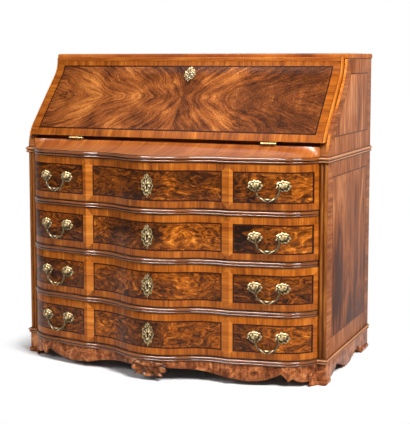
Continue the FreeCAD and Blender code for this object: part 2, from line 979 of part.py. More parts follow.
def drawer_front(floor, height):
    band = band_on_plan(floor + drawer_gap, height - 2 * drawer_gap, 0.0, -drawer_front_thickness)
    opening = box(-drawer_half, drawer_half, -total_depth, total_depth, floor, floor + height)
    return first_solid(band.common(opening))


def drawer_box(floor, height, front):
    """Two sides, a back and a bottom, fitted to the curved back of the drawer front."""
    low = floor + drawer_runner_gap
    high = floor + height - drawer_side_drop
    rear = inner_back - drawer_back_space
    inside = board_on_plan(low, high - low, rear, -drawer_front_thickness)
    side_in = drawer_half - drawer_side_thickness
    side = inside.common(box(side_in, drawer_half, -total_depth, rear, low, high))
    right = first_solid(side.cut(front))
    back = box(-side_in, side_in, rear - drawer_side_thickness, rear, low, high)
    bottom_z = low + drawer_bottom_rise
    bottom = inside.common(
        box(
            -side_in,
            side_in,
            -total_depth,
            rear - drawer_side_thickness,
            bottom_z,
            bottom_z + drawer_bottom_thickness,
        )
    )
    return [right, mirrored(right), back, first_solid(bottom)]


# Gallery


def gallery_bounds():
    """Front, shelf level and the inner edge of the side compartments."""
    front = gallery_y
    shelf_z = bed_top + gallery_drawer_height
    inner = niche_width / 2 + gallery_board
    return front, shelf_z, inner


def scooped(x, z0, z1):
    """An upright partition whose front edge is hollowed between its ends."""
    front, _, _ = gallery_bounds()
    middle = V(x, front + partition_scoop, (z0 + z1) / 2)
    outline = [
        arc(V(x, front, z0), middle, V(x, front, z1)),
        line(V(x, front, z1), V(x, inner_back, z1)),
        line(V(x, inner_back, z1), V(x, inner_back, z0)),
        line(V(x, inner_back, z0), V(x, front, z0)),
    ]
    return prism(outline, V(gallery_board, 0, 0))


def gallery():
    front, shelf_z, inner = gallery_bounds()
    wall = box(inner - gallery_board, inner, front, inner_back, bed_top, slant_top)
    shelf = box(inner, opening_half, front, inner_back, shelf_z, shelf_z + gallery_board)
    right = [wall, shelf]
    pitch = (opening_half - inner + gallery_board) / pigeonholes_per_side
    for i in range(1, pigeonholes_per_side):
        x = inner - gallery_board + i * pitch
        right.append(scooped(x, shelf_z + gallery_board, slant_top))
    return right + [mirrored(piece) for piece in right]


def inner_drawer():
    """The right gallery drawer: front, two sides, back, bottom and a turned knob."""
    front, shelf_z, inner = gallery_bounds()
    x0 = inner + inner_drawer_gap
    x1 = opening_half - inner_drawer_gap
    z0 = bed_top + drawer_runner_gap
    z1 = shelf_z - inner_drawer_gap
    y1 = inner_back - drawer_back_space
    behind = front + inner_front_thickness
    low = z1 - inner_front_thickness
    knob_at = V((x0 + x1) / 2, front, (z0 + z1) / 2)
    rings = [
        ring(knob_neck_radius, knob_neck_radius, knob_sides, knob_at),
        ring(knob_neck_radius, knob_neck_radius, knob_sides, knob_at - V(0, knob_neck, 0)),
        ring(knob_radius, knob_radius, knob_sides, knob_at - V(0, knob_belly, 0)),
        ring(knob_neck_radius, knob_neck_radius, knob_sides, knob_at - V(0, knob_length, 0)),
    ]
    knob = faceted(rings)
    return [
        box(x0, x1, front, behind, z0, z1),
        box(x0, x0 + inner_wall, behind, y1, z0, low),
        box(x1 - inner_wall, x1, behind, y1, z0, low),
        box(x0 + inner_wall, x1 - inner_wall, y1 - inner_wall, y1, z0, low),
        box(x0 + inner_wall, x1 - inner_wall, behind, y1 - inner_wall, z0, z0 + inner_wall),
        knob,
    ]


# The whole bureau


def carcass_nodes():
    side = side_board()
    dividers = [floor - rail_height for floor in opening_floors[:-1]]
    apron = apron_front()
    return {
        "side_left": [mirrored(side)],
        "side_right": [side],
        "top_board": [top_board()],
        "back_planks": back_planks(),
        "bottom_board": [dust_board(foot_height, rail_height)],
        "dust_boards": [dust_board(z, rail_height) for z in dividers] + [dust_board(waist_z, waist_height)],
        "writing_bed": [writing_bed()],
        "frieze_front": [frieze_front()],
        "waist_moulding": wrapped_moulding(waist_z, waist_height, bolt_mortise(waist_z)),
        "drawer_rails": [front_rail(z) for z in dividers],
        "base_moulding": wrapped_moulding(foot_height, rail_height),
        "corner_stiles": pair(corner_stile()),
        "apron_front": [apron],
        "apron_sides": pair(apron_side()),
        "apron_pendant": [apron_pendant(apron)],
        "foot_blocks": foot_blocks(),
        "foot_plinths": foot_plinths(),
        "gallery": gallery(),
        "hinge_bed_leaves": pair(hinge_leaf(True)),
    }


def fall_nodes():
    return {
        "fall_board": [fall_board()],
        "fall_hinge_leaves": pair(hinge_leaf(False)),
        "fall_escutcheon": [fall_escutcheon()],
        "fall_lock": [fall_lock()],
        "fall_lock_bolt": [fall_bolt()],
    }


def drawer_nodes():
    nodes = {}
    for number, (floor, height) in enumerate(zip(opening_floors, drawer_openings), start=1):
        name = f"drawer_{number}"
        middle = floor + height / 2
        lock_top = floor + height - drawer_gap - lock_top_gap
        front = drawer_front(floor, height)
        swing = bail(middle + handle_rise)
        nodes[f"{name}_front"] = [front]
        nodes[f"{name}_box"] = drawer_box(floor, height, front)
        nodes[f"{name}_escutcheon"] = [drawer_escutcheon(middle)]
        nodes[f"{name}_roses"] = handle_roses(middle + handle_rise)
        nodes[f"{name}_lock"] = [drawer_lock(lock_top, front)]
        nodes[f"{name}_lock_bolt"] = [drawer_bolt(lock_top)]
        nodes[f"{name}_bail_right"] = [swing]
        nodes[f"{name}_bail_left"] = [mirrored(swing)]
    return nodes


def gallery_drawer_nodes():
    right = inner_drawer()
    return {
        "inner_drawer_right": right,
        "inner_drawer_left": [mirrored(piece) for piece in right],
    }


def main():
    os.makedirs("parts", exist_ok=True)
    nodes = {**carcass_nodes(), **fall_nodes(), **drawer_nodes(), **gallery_drawer_nodes()}
    for name, solids in nodes.items():
        shape = solids[0] if len(solids) == 1 else Part.makeCompound(solids)
        shape.exportStep(f"parts/{name}.step")
    whole = Part.makeCompound([solid for solids in nodes.values() for solid in solids]).BoundBox
    print("nodes", len(nodes), "bow radius", bow_radius, "cusp reach", cusp_reach)
    print("low corner", whole.XMin, whole.YMin, whole.ZMin)
    print("high corner", whole.XMax, whole.YMax, whole.ZMax)
    print("fall hinge", hinge_y, hinge_z, "slant turn", math.degrees(slant_turn()))
    print("bail axis", handle_foot(), math.degrees(handle_turn()))


main()
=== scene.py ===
import json
from functools import partialmethod
from math import asin, atan2, copysign, cos, exp, pi, radians, sin, sqrt

import bpy
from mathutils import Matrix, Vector


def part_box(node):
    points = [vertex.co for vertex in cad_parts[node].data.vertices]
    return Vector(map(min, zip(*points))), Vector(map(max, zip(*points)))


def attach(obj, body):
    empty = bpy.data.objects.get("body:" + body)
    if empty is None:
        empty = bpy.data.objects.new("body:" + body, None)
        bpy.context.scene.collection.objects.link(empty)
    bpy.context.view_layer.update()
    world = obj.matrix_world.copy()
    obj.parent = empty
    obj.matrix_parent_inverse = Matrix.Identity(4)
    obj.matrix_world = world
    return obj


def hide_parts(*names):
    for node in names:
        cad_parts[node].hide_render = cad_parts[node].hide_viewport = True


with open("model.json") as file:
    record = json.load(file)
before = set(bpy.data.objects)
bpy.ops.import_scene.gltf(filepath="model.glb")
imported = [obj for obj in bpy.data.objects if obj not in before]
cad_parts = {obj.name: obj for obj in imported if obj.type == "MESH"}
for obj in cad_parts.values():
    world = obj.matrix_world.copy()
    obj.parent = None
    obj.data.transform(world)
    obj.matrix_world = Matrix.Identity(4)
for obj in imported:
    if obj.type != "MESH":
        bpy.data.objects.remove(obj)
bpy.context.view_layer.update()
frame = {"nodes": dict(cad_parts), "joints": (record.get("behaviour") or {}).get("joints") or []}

# Slant-front bureau in figured walnut veneer, with cast brass handles.
# Metres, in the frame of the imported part: X to the right, Y to the back, Z up.

MM = 0.001
TAU = 2 * pi
scene = bpy.context.scene

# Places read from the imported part
side_low, side_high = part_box("side_right")
stile_y, back_y = side_low.y, side_high.y
opening_half, half_width = side_low.x, side_high.x
waist_low, waist_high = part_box("waist_moulding")
base_low, base_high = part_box("base_moulding")
front_low, front_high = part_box("drawer_1_front")
fall_low, fall_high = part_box("fall_board")
frieze_low, frieze_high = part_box("frieze_front")
bow_reach = stile_y - front_low.y
drawer_count = 4
drawer_reach = 330 * MM

# Serpentine plan, as distances forward of the stile face
hollow_reach = 108 * MM
hollow_x = 222 * MM
cusp_x = 262 * MM
shoulder_from_stile = 114.5 * MM
shoulder_reach = 82 * MM
shoulder_slope = radians(8)

# Ogee of the fall
slant_radius = 106 * MM
slant_inset = 4 * MM
slant_setback = 210 * MM
slant_straight = radians(42.4)
fall_face = 18.6 * MM

# Boards and mouldings
front_thickness = 24 * MM
front_edge_radius = 1.4 * MM
rail_depth = 40 * MM
rail_gap = 1.2 * MM
frieze_setback = 2 * MM
frieze_hollow = 0.55
moulding_proud = 7 * MM
moulding_low_proud = 5.4 * MM
moulding_root = 2.2 * MM
bolt_gap = 0.3 * MM
bolt_room = 10 * MM
slot_margin = 8 * MM

# Veneer on the drawer fronts, from the middle and from the edges
panel_centre = 232 * MM
panel_inner = 279 * MM
panel_outer = 515 * MM
panel_foot = 28 * MM
panel_head = 29 * MM
burl_heart = 60 * MM
burl_dark_start = panel_inner + 20 * MM
burl_dark_stop = panel_inner + 110 * MM
golden_end = 20 * MM

# Strings and joints of the veneer
string_width = 4.4 * MM
inlay_soft = 0.4 * MM
seam_half = 0.5 * MM
cusp_half = 0.6 * MM

# Veneer on the fall and on the sides
fall_band_head = 34 * MM
fall_band_foot = 28 * MM
fall_band_side = 36 * MM
fall_nose = 13 * MM
fall_lip = 5 * MM
heart_z = 930 * MM
slant_stretch = 1.32
leaf_soft = 2 * MM
plume_slope = 0.75
plume_fan = 5.0
plume_tip = 8 * MM
plume_gold = 150 * MM
side_band_front = 66 * MM
side_band_back = 52 * MM
side_band_head = 52 * MM
side_band_foot = 62 * MM

# Back, arrises and pendant
plank_count = 5
arris_wear = 2.5 * MM
pendant_depth = 13 * MM
pendant_leaves = 8

# Brass
hinge_length = 54 * MM
hinge_barrel = 2.8 * MM
hinge_leaf = 1.8 * MM
hinge_neck = 8 * MM
hinge_play = 0.4 * MM
post_pitch = 92 * MM
post_tip = 4.6 * MM
post_thickness = 3.6 * MM
nut_radius = 5.2 * MM
bail_half_span = 37.5 * MM
bail_drop = 45 * MM
bail_arm = 14 * MM
bail_radius = 3.9 * MM
pin_end = 44.5 * MM
rose_half_width = 25 * MM
rose_half_height = 21 * MM
plate_floor = 0.3 * MM
plate_half = (23 * MM, 39 * MM)
fall_plate_half = (23 * MM, 31 * MM)
fall_plate_drop = 54 * MM

# Studio and camera; the eye is fitted to the photograph, with its angles in degrees
floor_radius = 3.2
floor_clear = 0.18
floor_drop = 0.2 * MM
ambient = 0.21
room_dark = 0.03
eye_place = (1.5549, -3.5365, 1.0584)
eye_pitch = 5.729
eye_yaw = 22.966
eye_lens = 92.994
eye_shift = -0.1


# Colours


def tone(*display):
    """A display colour, red, green and blue up to 255, as the linear colour that a shader takes."""
    shares = [value / 255 for value in display]
    return (*(s / 12.92 if s <= 0.04045 else ((s + 0.055) / 1.055) ** 2.4 for s in shares), 1.0)


def tones(*stops):
    """The stops of a ramp, each given as its place and a display colour."""
    return [(place, tone(*colour)) for place, *colour in stops]


BURL = tones((0, 30, 12, 2), (0.3, 74, 35, 5), (0.55, 124, 61, 8), (0.8, 176, 93, 16), (1, 226, 140, 46))
BAND = tones((0, 88, 38, 5), (0.35, 144, 72, 13), (0.62, 174, 92, 21), (1, 212, 130, 46))
STRIP = tones((0, 136, 67, 16), (0.4, 192, 105, 30), (1, 230, 147, 56))
FALL_LIGHT = tones((0, 48, 18, 4), (0.32, 108, 53, 17), (0.6, 156, 83, 31), (1, 218, 138, 64))
FALL_DARK = tones((0, 36, 14, 4), (0.35, 92, 44, 14), (0.62, 130, 67, 25), (1, 190, 114, 50))
SIDE = tones((0, 70, 31, 13), (0.38, 136, 74, 38), (0.65, 172, 103, 59), (1, 212, 148, 98))
APRON = tones((0, 46, 19, 8), (0.4, 122, 63, 31), (0.65, 178, 104, 58), (1, 228, 160, 106))
MOULDING = tones((0, 14, 5, 1), (0.5, 62, 26, 5), (1, 156, 82, 26))
RETURN = tones((0, 40, 17, 7), (0.4, 120, 64, 33), (1, 204, 138, 88))
STILE = tones((0, 58, 26, 7), (0.5, 124, 66, 22), (1, 184, 112, 46))
SHOULDER = tones((0, 98, 42, 9), (0.4, 162, 81, 23), (1, 214, 130, 50))
CARVED = tones((0, 24, 9, 2), (0.45, 98, 47, 14), (1, 190, 112, 50))
PLAIN_OAK = tones((0, 104, 66, 36), (0.5, 156, 108, 64), (1, 196, 150, 98))
BRASS = tones((0.1, 42, 31, 17), (0.4, 124, 100, 62), (0.68, 186, 163, 115), (0.95, 236, 222, 184))
STEEL = tones((0.3, 58, 50, 44), (0.55, 104, 100, 96), (0.8, 140, 136, 130))
STRING = tone(44, 16, 4)
RUBBED = tone(206, 140, 82)
FLOOR = (0.96, 0.96, 0.97, 1.0)
FLOOR_BOUNCE = (0.6, 0.6, 0.6, 1.0)


class Graph:
    """The nodes of a material or a world. A value is a socket, or a plain number, vector or colour."""

    def __init__(self, name, kind="materials", place="Object"):
        self.owner = getattr(bpy.data, kind).new(name)
        self.owner.use_nodes = True
        self.tree = self.owner.node_tree
        self.shader = self.tree.nodes.get("Principled BSDF")
        self.place = self.node("TexCoord")[place]
        self.x, self.y, self.z = self.split(self.place)

    def node(self, kind, inputs=(), **settings):
        """The outputs of a new node; inputs are values in order, or a dict by socket name or number."""
        made = self.tree.nodes.new(f"ShaderNode{kind}")
        for key, value in settings.items():
            setattr(made, key, value)
        for key, value in (inputs if isinstance(inputs, dict) else dict(enumerate(inputs))).items():
            self.feed(made.inputs[key], value)
        return made.outputs

    def feed(self, socket, value):
        if isinstance(value, bpy.types.NodeSocket):
            self.tree.links.new(value, socket)
        else:
            socket.default_value = value

    def math(self, operation, *values):
        return self.node("Math", values, operation=operation)[0]

    plus = partialmethod(math, "ADD")
    minus = partialmethod(math, "SUBTRACT")
    times = partialmethod(math, "MULTIPLY")
    most = partialmethod(math, "MAXIMUM")

    def total(self, *terms):
        """The sum of (weight, value) terms."""
        result = 0.0
        for weight, value in terms:
            result = self.math("MULTIPLY_ADD", value, weight, result)
        return result

    def span(self, value, low, high, to_low=0.0, to_high=1.0, smooth=False):
        """A value between low and high, carried over to another span and held at its ends."""
        kind = "SMOOTHSTEP" if smooth else "LINEAR"
        ends = (value, low, high, to_low, to_high)
        return self.node("MapRange", ends, interpolation_type=kind)[0]

    def vector(self, x, y, z):
        return self.node("CombineXYZ", (x, y, z))[0]

    def split(self, vector):
        return self.node("SeparateXYZ", (vector,))

    def bent(self, vector, amount, *noise):
        """A vector moved about by a noise."""
        parts = (self.noise(vector, *noise, colour=True), (amount, amount, amount), vector)
        return self.node("VectorMath", parts, operation="MULTIPLY_ADD")[0]

    def scaled(self, vector, scale):
        return self.node("VectorMath", (vector, scale), operation="MULTIPLY")[0]

    def noise(self, vector, scale, detail=2.0, rough=0.5, twist=0.0, colour=False):
        inputs = {"Vector": vector, "Scale": scale, "Detail": detail, "Roughness": rough, "Distortion": twist}
        return self.node("TexNoise", inputs)["Color" if colour else "Fac"]

    def relief(self):
        """How bright a point of a made piece is drawn: partly rubbed wear, partly painted highlight and
        painted shade.
        """
        return self.node("Attribute", attribute_name="relief")["Fac"]

    def ramp(self, value, stops):
        output = self.node("ValToRGB", (value,))[0]
        points = output.node.color_ramp.elements
        while len(points) < len(stops):
            points.new(0.5)
        for point, (place, colour) in zip(points, stops):
            point.position = place
            point.color = colour
        return output

    def mix(self, share, first, second):
        """A colour between two others."""
        return self.node("Mix", {0: share, 6: first, 7: second}, data_type="RGBA")[2]

    def blend(self, share, first, second):
        """A number between two others."""
        return self.node("Mix", {0: share, 2: first, 3: second}, data_type="FLOAT")[0]

    def ink(self, colour, mask, share=1.0):
        """A colour with a mask drawn on it in the dark of the strings."""
        return self.mix(self.times(mask, share), colour, STRING)

    def between(self, value, low, high, soft):
        """1 where the value lies between low and high."""
        up = self.span(value, low - soft, low + soft)
        down = self.span(value, high - soft, high + soft, 1.0, 0.0)
        return self.times(up, down)

    def line(self, value, place, half, soft):
        """1 along a line of some half width."""
        return self.between(value, place - half, place + half, soft)

    def past(self, value, low, high):
        """How far a value lies outside low and high; negative between them."""
        off_middle = self.math("ABSOLUTE", self.minus(value, (low + high) / 2))
        return self.minus(off_middle, (high - low) / 2)

    def arris(self):
        """1 along the arrises, where a rounded normal leaves the true one."""
        rounded = self.node("Bevel", {"Radius": arris_wear}, samples=3)[0]
        normal = self.node("NewGeometry")["Normal"]
        across = self.node("VectorMath", (rounded, normal), operation="DOT_PRODUCT")
        return self.span(across["Value"], 0.98, 0.86)

    def bump(self, height, distance, strength):
        inputs = {"Strength": strength, "Distance": distance, "Height": height}
        self.feed(self.shader.inputs["Normal"], self.node("Bump", inputs)[0])

    def finish(self, colour, rough, coat=0.0, coat_rough=0.06, metal=0.0, specular=0.5):
        """Sets the shader and returns the material."""
        names = "Base Color", "Roughness", "Coat Weight", "Coat Roughness", "Metallic", "Specular IOR Level"
        for name, value in zip(names, (colour, rough, coat, coat_rough, metal, specular)):
            self.feed(self.shader.inputs[name], value)
        return self.owner


# Wood figures: each returns a value from 0, dark, to 1, light


def figure(g, *terms):
    """Noises added up about the middle tone, each with its own contrast."""
    return g.total(*terms, (0.5 - 0.5 * sum(gain for gain, _ in terms), 1.0))


def streak(g, along, across, stretch, pitch, seed, detail=3.0):
    """Streaks along the grain; pitch and stretch are waves per metre across and along it."""
    place = g.vector(g.times(along, stretch), g.times(across, pitch), seed)
    return g.noise(place, 1.0, detail, 0.6)


def straight_grain(g, axes, seed):
    """Fine lines along the grain, with broad changes across it; axes are two values or their names."""
    along, across = (getattr(g, axis) if isinstance(axis, str) else axis for axis in axes)
    fine = streak(g, along, across, 9.0, 340.0, seed)
    middle = streak(g, along, across, 8.0, 70.0, seed + 2.0)
    broad = streak(g, along, across, 3.0, 14.0, seed + 4.0, 2.0)
    return figure(g, (0.9, fine), (1.3, middle), (0.8, broad))


def contours(g, value, count):
    """Thin lines along the levels of a noise, like the rings of a burr."""
    wave = g.math("SINE", g.times(value, TAU * count))
    return g.math("MULTIPLY_ADD", wave, 0.5, 0.5)


def burl_figure(g, seed):
    """Swirls, dark clouds and golden flames of burr walnut."""
    spot = g.vector(g.times(g.x, 0.6), seed, g.z)
    bent = g.bent(spot, 0.2, 9.0, 3.0, 0.55)
    long_bent = g.scaled(bent, (0.36, 1.0, 1.2))
    tide = g.noise(g.vector(g.x, seed, g.times(g.z, 0.7)), 5.5, 1.0)
    cloud = g.noise(bent, 12.0, 2.0, 0.5, 0.6)
    swirl = g.noise(bent, 44.0, 4.0, 0.62, 1.6)
    flame = g.noise(long_bent, 84.0, 3.0, 0.6, 0.8)
    fine = g.noise(spot, 240.0, 2.0, 0.65)
    rings = contours(g, g.noise(long_bent, 12.0, 1.0, 0.5, 0.8), 7.0)
    threads = contours(g, g.noise(g.scaled(bent, (0.6, 1.0, 1.2)), 20.0, 1.0, 0.5, 1.2), 6.0)
    broad = (0.5, tide), (0.7, cloud), (0.9, swirl)
    grown = figure(g, *broad, (1.2, flame), (0.2, rings), (0.2, threads), (0.5, fine))
    return g.minus(grown, 0.07)


# Materials


def polish(g, colour, grain, rough=0.38, coat=0.05, specular=0.2, coat_rough=0.06):
    """Old french polish over veneer: uneven sheen, open pores and rubbed arrises."""
    wear = g.noise(g.place, 7.0, 3.0, 0.6)
    rubbed = g.times(g.arris(), g.span(g.noise(g.place, 30.0, 3.0, 0.6), 0.3, 0.7))
    colour = g.mix(g.times(rubbed, 0.5), colour, RUBBED)
    roughness = g.total((0.16, wear), (0.06, grain), (0.1, rubbed), (rough - 0.11, 1.0))
    g.bump(grain, 0.25 * MM, 0.25)
    return g.finish(colour, roughness, coat, coat_rough, specular=specular)


def inlay(g, over_x, over_z):
    """Masks of a panel, its string and the upright parts of its band, from the ways past its edges."""
    over = g.most(over_x, over_z)
    panel = g.span(over, -inlay_soft, inlay_soft, 1.0, 0.0)
    string = g.between(over, 0.0, string_width, inlay_soft)
    upright = g.span(g.minus(over_x, over_z), -inlay_soft, inlay_soft)
    return panel, string, upright


def drawer_front_material(number):
    """Burr panels, dark strings and cross-grained bands, mitred at the corners, with painted light on the
    right-facing strips and painted shade along the top and bottom edges.
    """
    low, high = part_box(f"drawer_{number}_front")
    g = Graph(f"veneer_drawer_{number}")
    seed = number * 1.7
    across = g.math("ABSOLUTE", g.x)
    past_left, past_middle, past_right = (g.math("GREATER_THAN", g.x, x) for x in (-cusp_x, 0.0, cusp_x))
    over_centre = g.minus(across, panel_centre)
    over_side = g.past(across, panel_inner, panel_outer)
    over_x = g.blend(g.math("GREATER_THAN", across, cusp_x), over_centre, over_side)
    over_z = g.past(g.z, low.z + panel_foot, high.z - panel_head)
    panel, string, upright = inlay(g, over_x, over_z)

    # The burr is dark about the lock and by the right cusp, and on the top drawer left of the lock
    heart = g.between(g.x, -burl_heart, burl_heart / 4, burl_heart)
    dark_end = g.times(past_right, g.span(g.x, burl_dark_start, burl_dark_stop, 1.0, 0.0))
    gloom = g.times(past_left, g.span(g.x, -panel_centre, 0.0, 0.15 if number == 1 else 0.0, 0.0))
    shade = g.total((-0.24, heart), (-0.24, dark_end), (-1.0, gloom), (0.08, past_left), (-0.02, 1.0))
    burl = g.plus(burl_figure(g, seed), shade)

    band_level = straight_grain(g, "zx", seed)
    band_upright = straight_grain(g, "xz", seed + 2.0)
    # Painted light: the upright strips are drawn lighter where they face right, towards the key lamp, and
    # darker where they face left.
    golden = g.total((0.9, past_left), (-0.6, past_middle), (0.55, past_right))
    golden = g.times(golden, g.span(across, panel_outer - golden_end, panel_outer, 1.0, 0.0))
    strip = g.mix(golden, g.ramp(band_upright, BAND), g.ramp(band_upright, STRIP))
    band = g.mix(upright, g.ramp(band_level, BAND), strip)
    seam = g.line(g.minus(over_x, over_z), 0.0, seam_half, inlay_soft)
    cusp = g.line(across, cusp_x, cusp_half, seam_half)
    band = g.ink(band, g.most(seam, g.times(cusp, 0.7)), 0.45)
    colour = g.ink(g.mix(panel, band, g.ramp(burl, BURL)), string)
    # Painted shade: the front is drawn darker along its foot and head, where the gaps to the beads fall in
    # shadow.
    foot_gap_shade = g.span(g.z, low.z + 1 * MM, low.z + 5 * MM, 0.75, 0.0)
    head_gap_shade = g.span(g.z, high.z - 4 * MM, high.z, 0.0, 0.35)
    colour = g.ink(colour, g.most(foot_gap_shade, head_gap_shade))
    return polish(g, colour, g.most(burl, band_level), coat=0.12, specular=0.12)


def fall_material():
    """Quarter-matched figure that fans out from the middle, a string, and a cross-grained band."""
    g = Graph("veneer_fall")
    across = g.math("ABSOLUTE", g.x)
    over_x = g.minus(across, fall_high.x - fall_band_side)
    over_z = g.past(g.z, fall_low.z + fall_band_foot, fall_high.z - fall_band_head)
    panel, string, upright = inlay(g, over_x, over_z)

    # Plumes that leave the heart and bend outwards, one in each quarter
    from_heart = g.minus(g.z, heart_z)
    up = g.times(g.math("ABSOLUTE", from_heart), slant_stretch)
    right = g.span(g.x, -leaf_soft, leaf_soft)
    above = g.span(from_heart, -leaf_soft, leaf_soft)
    leaf = g.times(right, 3.0)
    spot = g.vector(across, up, leaf)
    bent = g.bent(spot, 0.07, 9.0, 3.0, 0.55)
    bx, bz = (g.minus(part, 0.035) for part in list(g.split(bent))[:2])
    rise = g.minus(g.math("SQRT", g.math("MULTIPLY_ADD", bz, bz, plume_tip**2)), plume_tip)
    fan = g.math("MULTIPLY_ADD", rise, plume_fan, 1.0)
    plume = g.math("DIVIDE", g.math("MULTIPLY_ADD", rise, -plume_slope, bx), fan)
    feather = streak(g, bz, plume, 9.0, 55.0, leaf)
    barbs = streak(g, bz, plume, 22.0, 300.0, leaf)
    cloud = g.noise(bent, 8.0, 2.0, 0.5, 0.6)
    swirl = g.noise(g.bent(spot, 0.2, 7.0), 30.0, 4.0, 0.6, 1.6)
    fine = g.noise(g.place, 260.0, 2.0, 0.6)
    wedge = g.span(plume, 0.0, -0.03, smooth=True)
    above_right = g.times(above, right)
    wedge_depth = g.total((-0.34, above), (0.26, above_right), (-0.1, right), (-0.12, 1.0))
    first_line = g.line(plume, 0.0, 0.004, 14 * MM)
    second_line = g.between(plume, plume_gold, plume_gold + 0.006, 18 * MM)
    shade = g.total((1.0, g.times(wedge, wedge_depth)), (-0.36, first_line), (-0.32, second_line))
    light = figure(g, (1.4, feather), (1.3, barbs), (1.3, cloud), (0.8, fine))
    dark = figure(g, (1.1, feather), (1.2, barbs), (1.1, cloud), (0.8, swirl), (0.8, fine))
    light, dark = (g.plus(value, shade) for value in (light, dark))
    light_wood = g.ramp(light, FALL_LIGHT)
    golden = g.span(plume, plume_gold, plume_gold + 0.04, 1.0, 0.0, smooth=True)
    right_wood = g.mix(golden, g.ramp(dark, FALL_DARK), light_wood)
    joints = (g.line(value, 0.0, seam_half, 0.6 * MM) for value in (g.x, from_heart))
    figured = g.ink(g.mix(right, light_wood, right_wood), g.most(*joints), 0.4)

    band_level = straight_grain(g, "zx", 9.0)
    band_upright = straight_grain(g, "xz", 11.0)
    band = g.mix(upright, g.ramp(band_level, BAND), g.ramp(band_upright, BAND))
    colour = g.ink(g.mix(panel, band, figured), string)
    nose_z = fall_high.z - fall_nose
    nose = g.span(g.z, nose_z - seam_half, nose_z + seam_half)
    colour = g.mix(nose, colour, g.ramp(straight_grain(g, "xz", 13.0), SHOULDER))
    colour = g.ink(colour, g.line(g.z, nose_z, 1 * MM, inlay_soft), 0.6)
    lip_x = fall_high.x - fall_lip
    colour = g.mix(g.span(across, lip_x, lip_x + 1 * MM), colour, g.ramp(band_level, STRIP))
    colour = g.ink(colour, g.between(across, lip_x - 1.5 * MM, lip_x, inlay_soft))
    grain = g.most(light, band_level)
    return polish(g, colour, grain, rough=0.5, coat=0.0, specular=0.03)


def side_material():
    """Upright figured field, a string, and a cross-grained band that follows the slant."""
    g = Graph("veneer_side")
    upper = g.span(g.z, waist_low.z, waist_high.z)
    slant_back = stile_y + slant_inset + slant_setback
    slant = g.span(g.z, waist_high.z, side_high.z, stile_y, slant_back, smooth=True)
    over_front = g.plus(g.minus(slant, g.y), side_band_front)
    over_y = g.most(over_front, g.minus(g.y, back_y - side_band_back))
    foot = g.math("MULTIPLY_ADD", upper, waist_high.z - base_high.z, base_high.z + side_band_foot)
    head = g.math("MULTIPLY_ADD", upper, side_high.z - waist_low.z, waist_low.z - side_band_head)
    over_z = g.most(g.minus(foot, g.z), g.minus(g.z, head))
    panel, string, upright = inlay(g, over_y, over_z)
    spot = g.vector(g.y, g.x, g.times(g.z, 0.28))
    bent = g.bent(spot, 0.14, 6.0)
    cloud = g.noise(bent, 13.0, 4.0, 0.6, 0.8)
    # The field is drawn darker towards the bottom of the side.
    darker_toward_bottom = g.span(g.z, base_high.z, waist_low.z, -0.4, 0.06, smooth=True)
    field = figure(g, (1.8, cloud), (1.4, streak(g, g.z, g.y, 4.0, 90.0, 3.0)))
    field = g.plus(field, darker_toward_bottom)
    band_level = straight_grain(g, "zy", 5.0)
    band_upright = straight_grain(g, "yz", 7.0)
    band = g.mix(upright, g.ramp(band_level, SIDE), g.ramp(band_upright, SIDE))
    colour = g.ink(g.mix(panel, band, g.ramp(field, SIDE)), string, 0.7)
    edge = g.times(g.span(over_front, side_band_front - 4 * MM, side_band_front - 2 * MM), upper)
    colour = g.mix(edge, colour, g.ramp(band_level, STRIP))
    # Painted shadow: a dark line on the side's front edge, in the gap beside the fall.
    fall_gap_shadow = g.span(g.math("ABSOLUTE", g.x), fall_high.x + 2 * MM, fall_high.x + 3 * MM, 1.0, 0.0)
    colour = g.ink(colour, g.times(edge, fall_gap_shadow))
    return polish(g, colour, field, rough=0.45, coat=0.0, specular=0.04)


def grained_material(name, stops, axes, seed, mottle=0.0, painted_left_light=0.0, relief=None, **gloss):
    """Straight-grained wood; if asked mottled, with painted light on the left, or lighter on the heights of a
    relief that carries wear, painted highlight and painted shade.
    """
    g = Graph(name)
    grain = straight_grain(g, axes, seed)
    if mottle:
        cloud = g.noise(g.place, 26.0, 4.0, 0.65, 1.4)
        grain = g.total((0.6, grain), (mottle, cloud), (0.2 - mottle / 2, 1.0))
    # Painted light: the part left of the middle is drawn lighter, as if lit.
    if painted_left_light:
        grain = g.plus(grain, g.span(g.x, -1 * MM, 1 * MM, painted_left_light, 0.0))
    value = grain
    if relief:
        gain, offset = relief
        value = g.total((gain, g.relief()), (0.4, grain), (offset, 1.0))
    return polish(g, g.ramp(value, stops), grain, **gloss)


def plank_material():
    """Upright oak planks of uneven tone with dark joints between them."""
    g = Graph("oak_planks")
    pitch = 2 * opening_half / plank_count
    place = g.math("DIVIDE", g.plus(g.x, opening_half), pitch)
    number = g.math("FLOOR", place)
    across = g.math("MULTIPLY_ADD", number, 3.0, g.x)
    grain = straight_grain(g, (g.z, across), 7.0)
    tint = g.noise(g.vector(number, 0.5, 0.5), 1.7, 0.0)
    knot = g.noise(g.vector(across, g.y, g.times(g.z, 0.12)), 11.0, 1.0, 0.5, 0.3)
    value = g.total((0.8, grain), (0.9, tint), (0.16, contours(g, knot, 7.0)), (-0.43, 1.0))
    off_joint = g.math("ABSOLUTE", g.minus(place, g.math("ROUND", place)))
    joint = g.span(g.times(off_joint, pitch), 0.8 * MM, 3.0 * MM, 0.9, 0.0)
    return polish(g, g.ink(g.ramp(value, PLAIN_OAK), joint), grain, rough=0.65, coat=0.0)


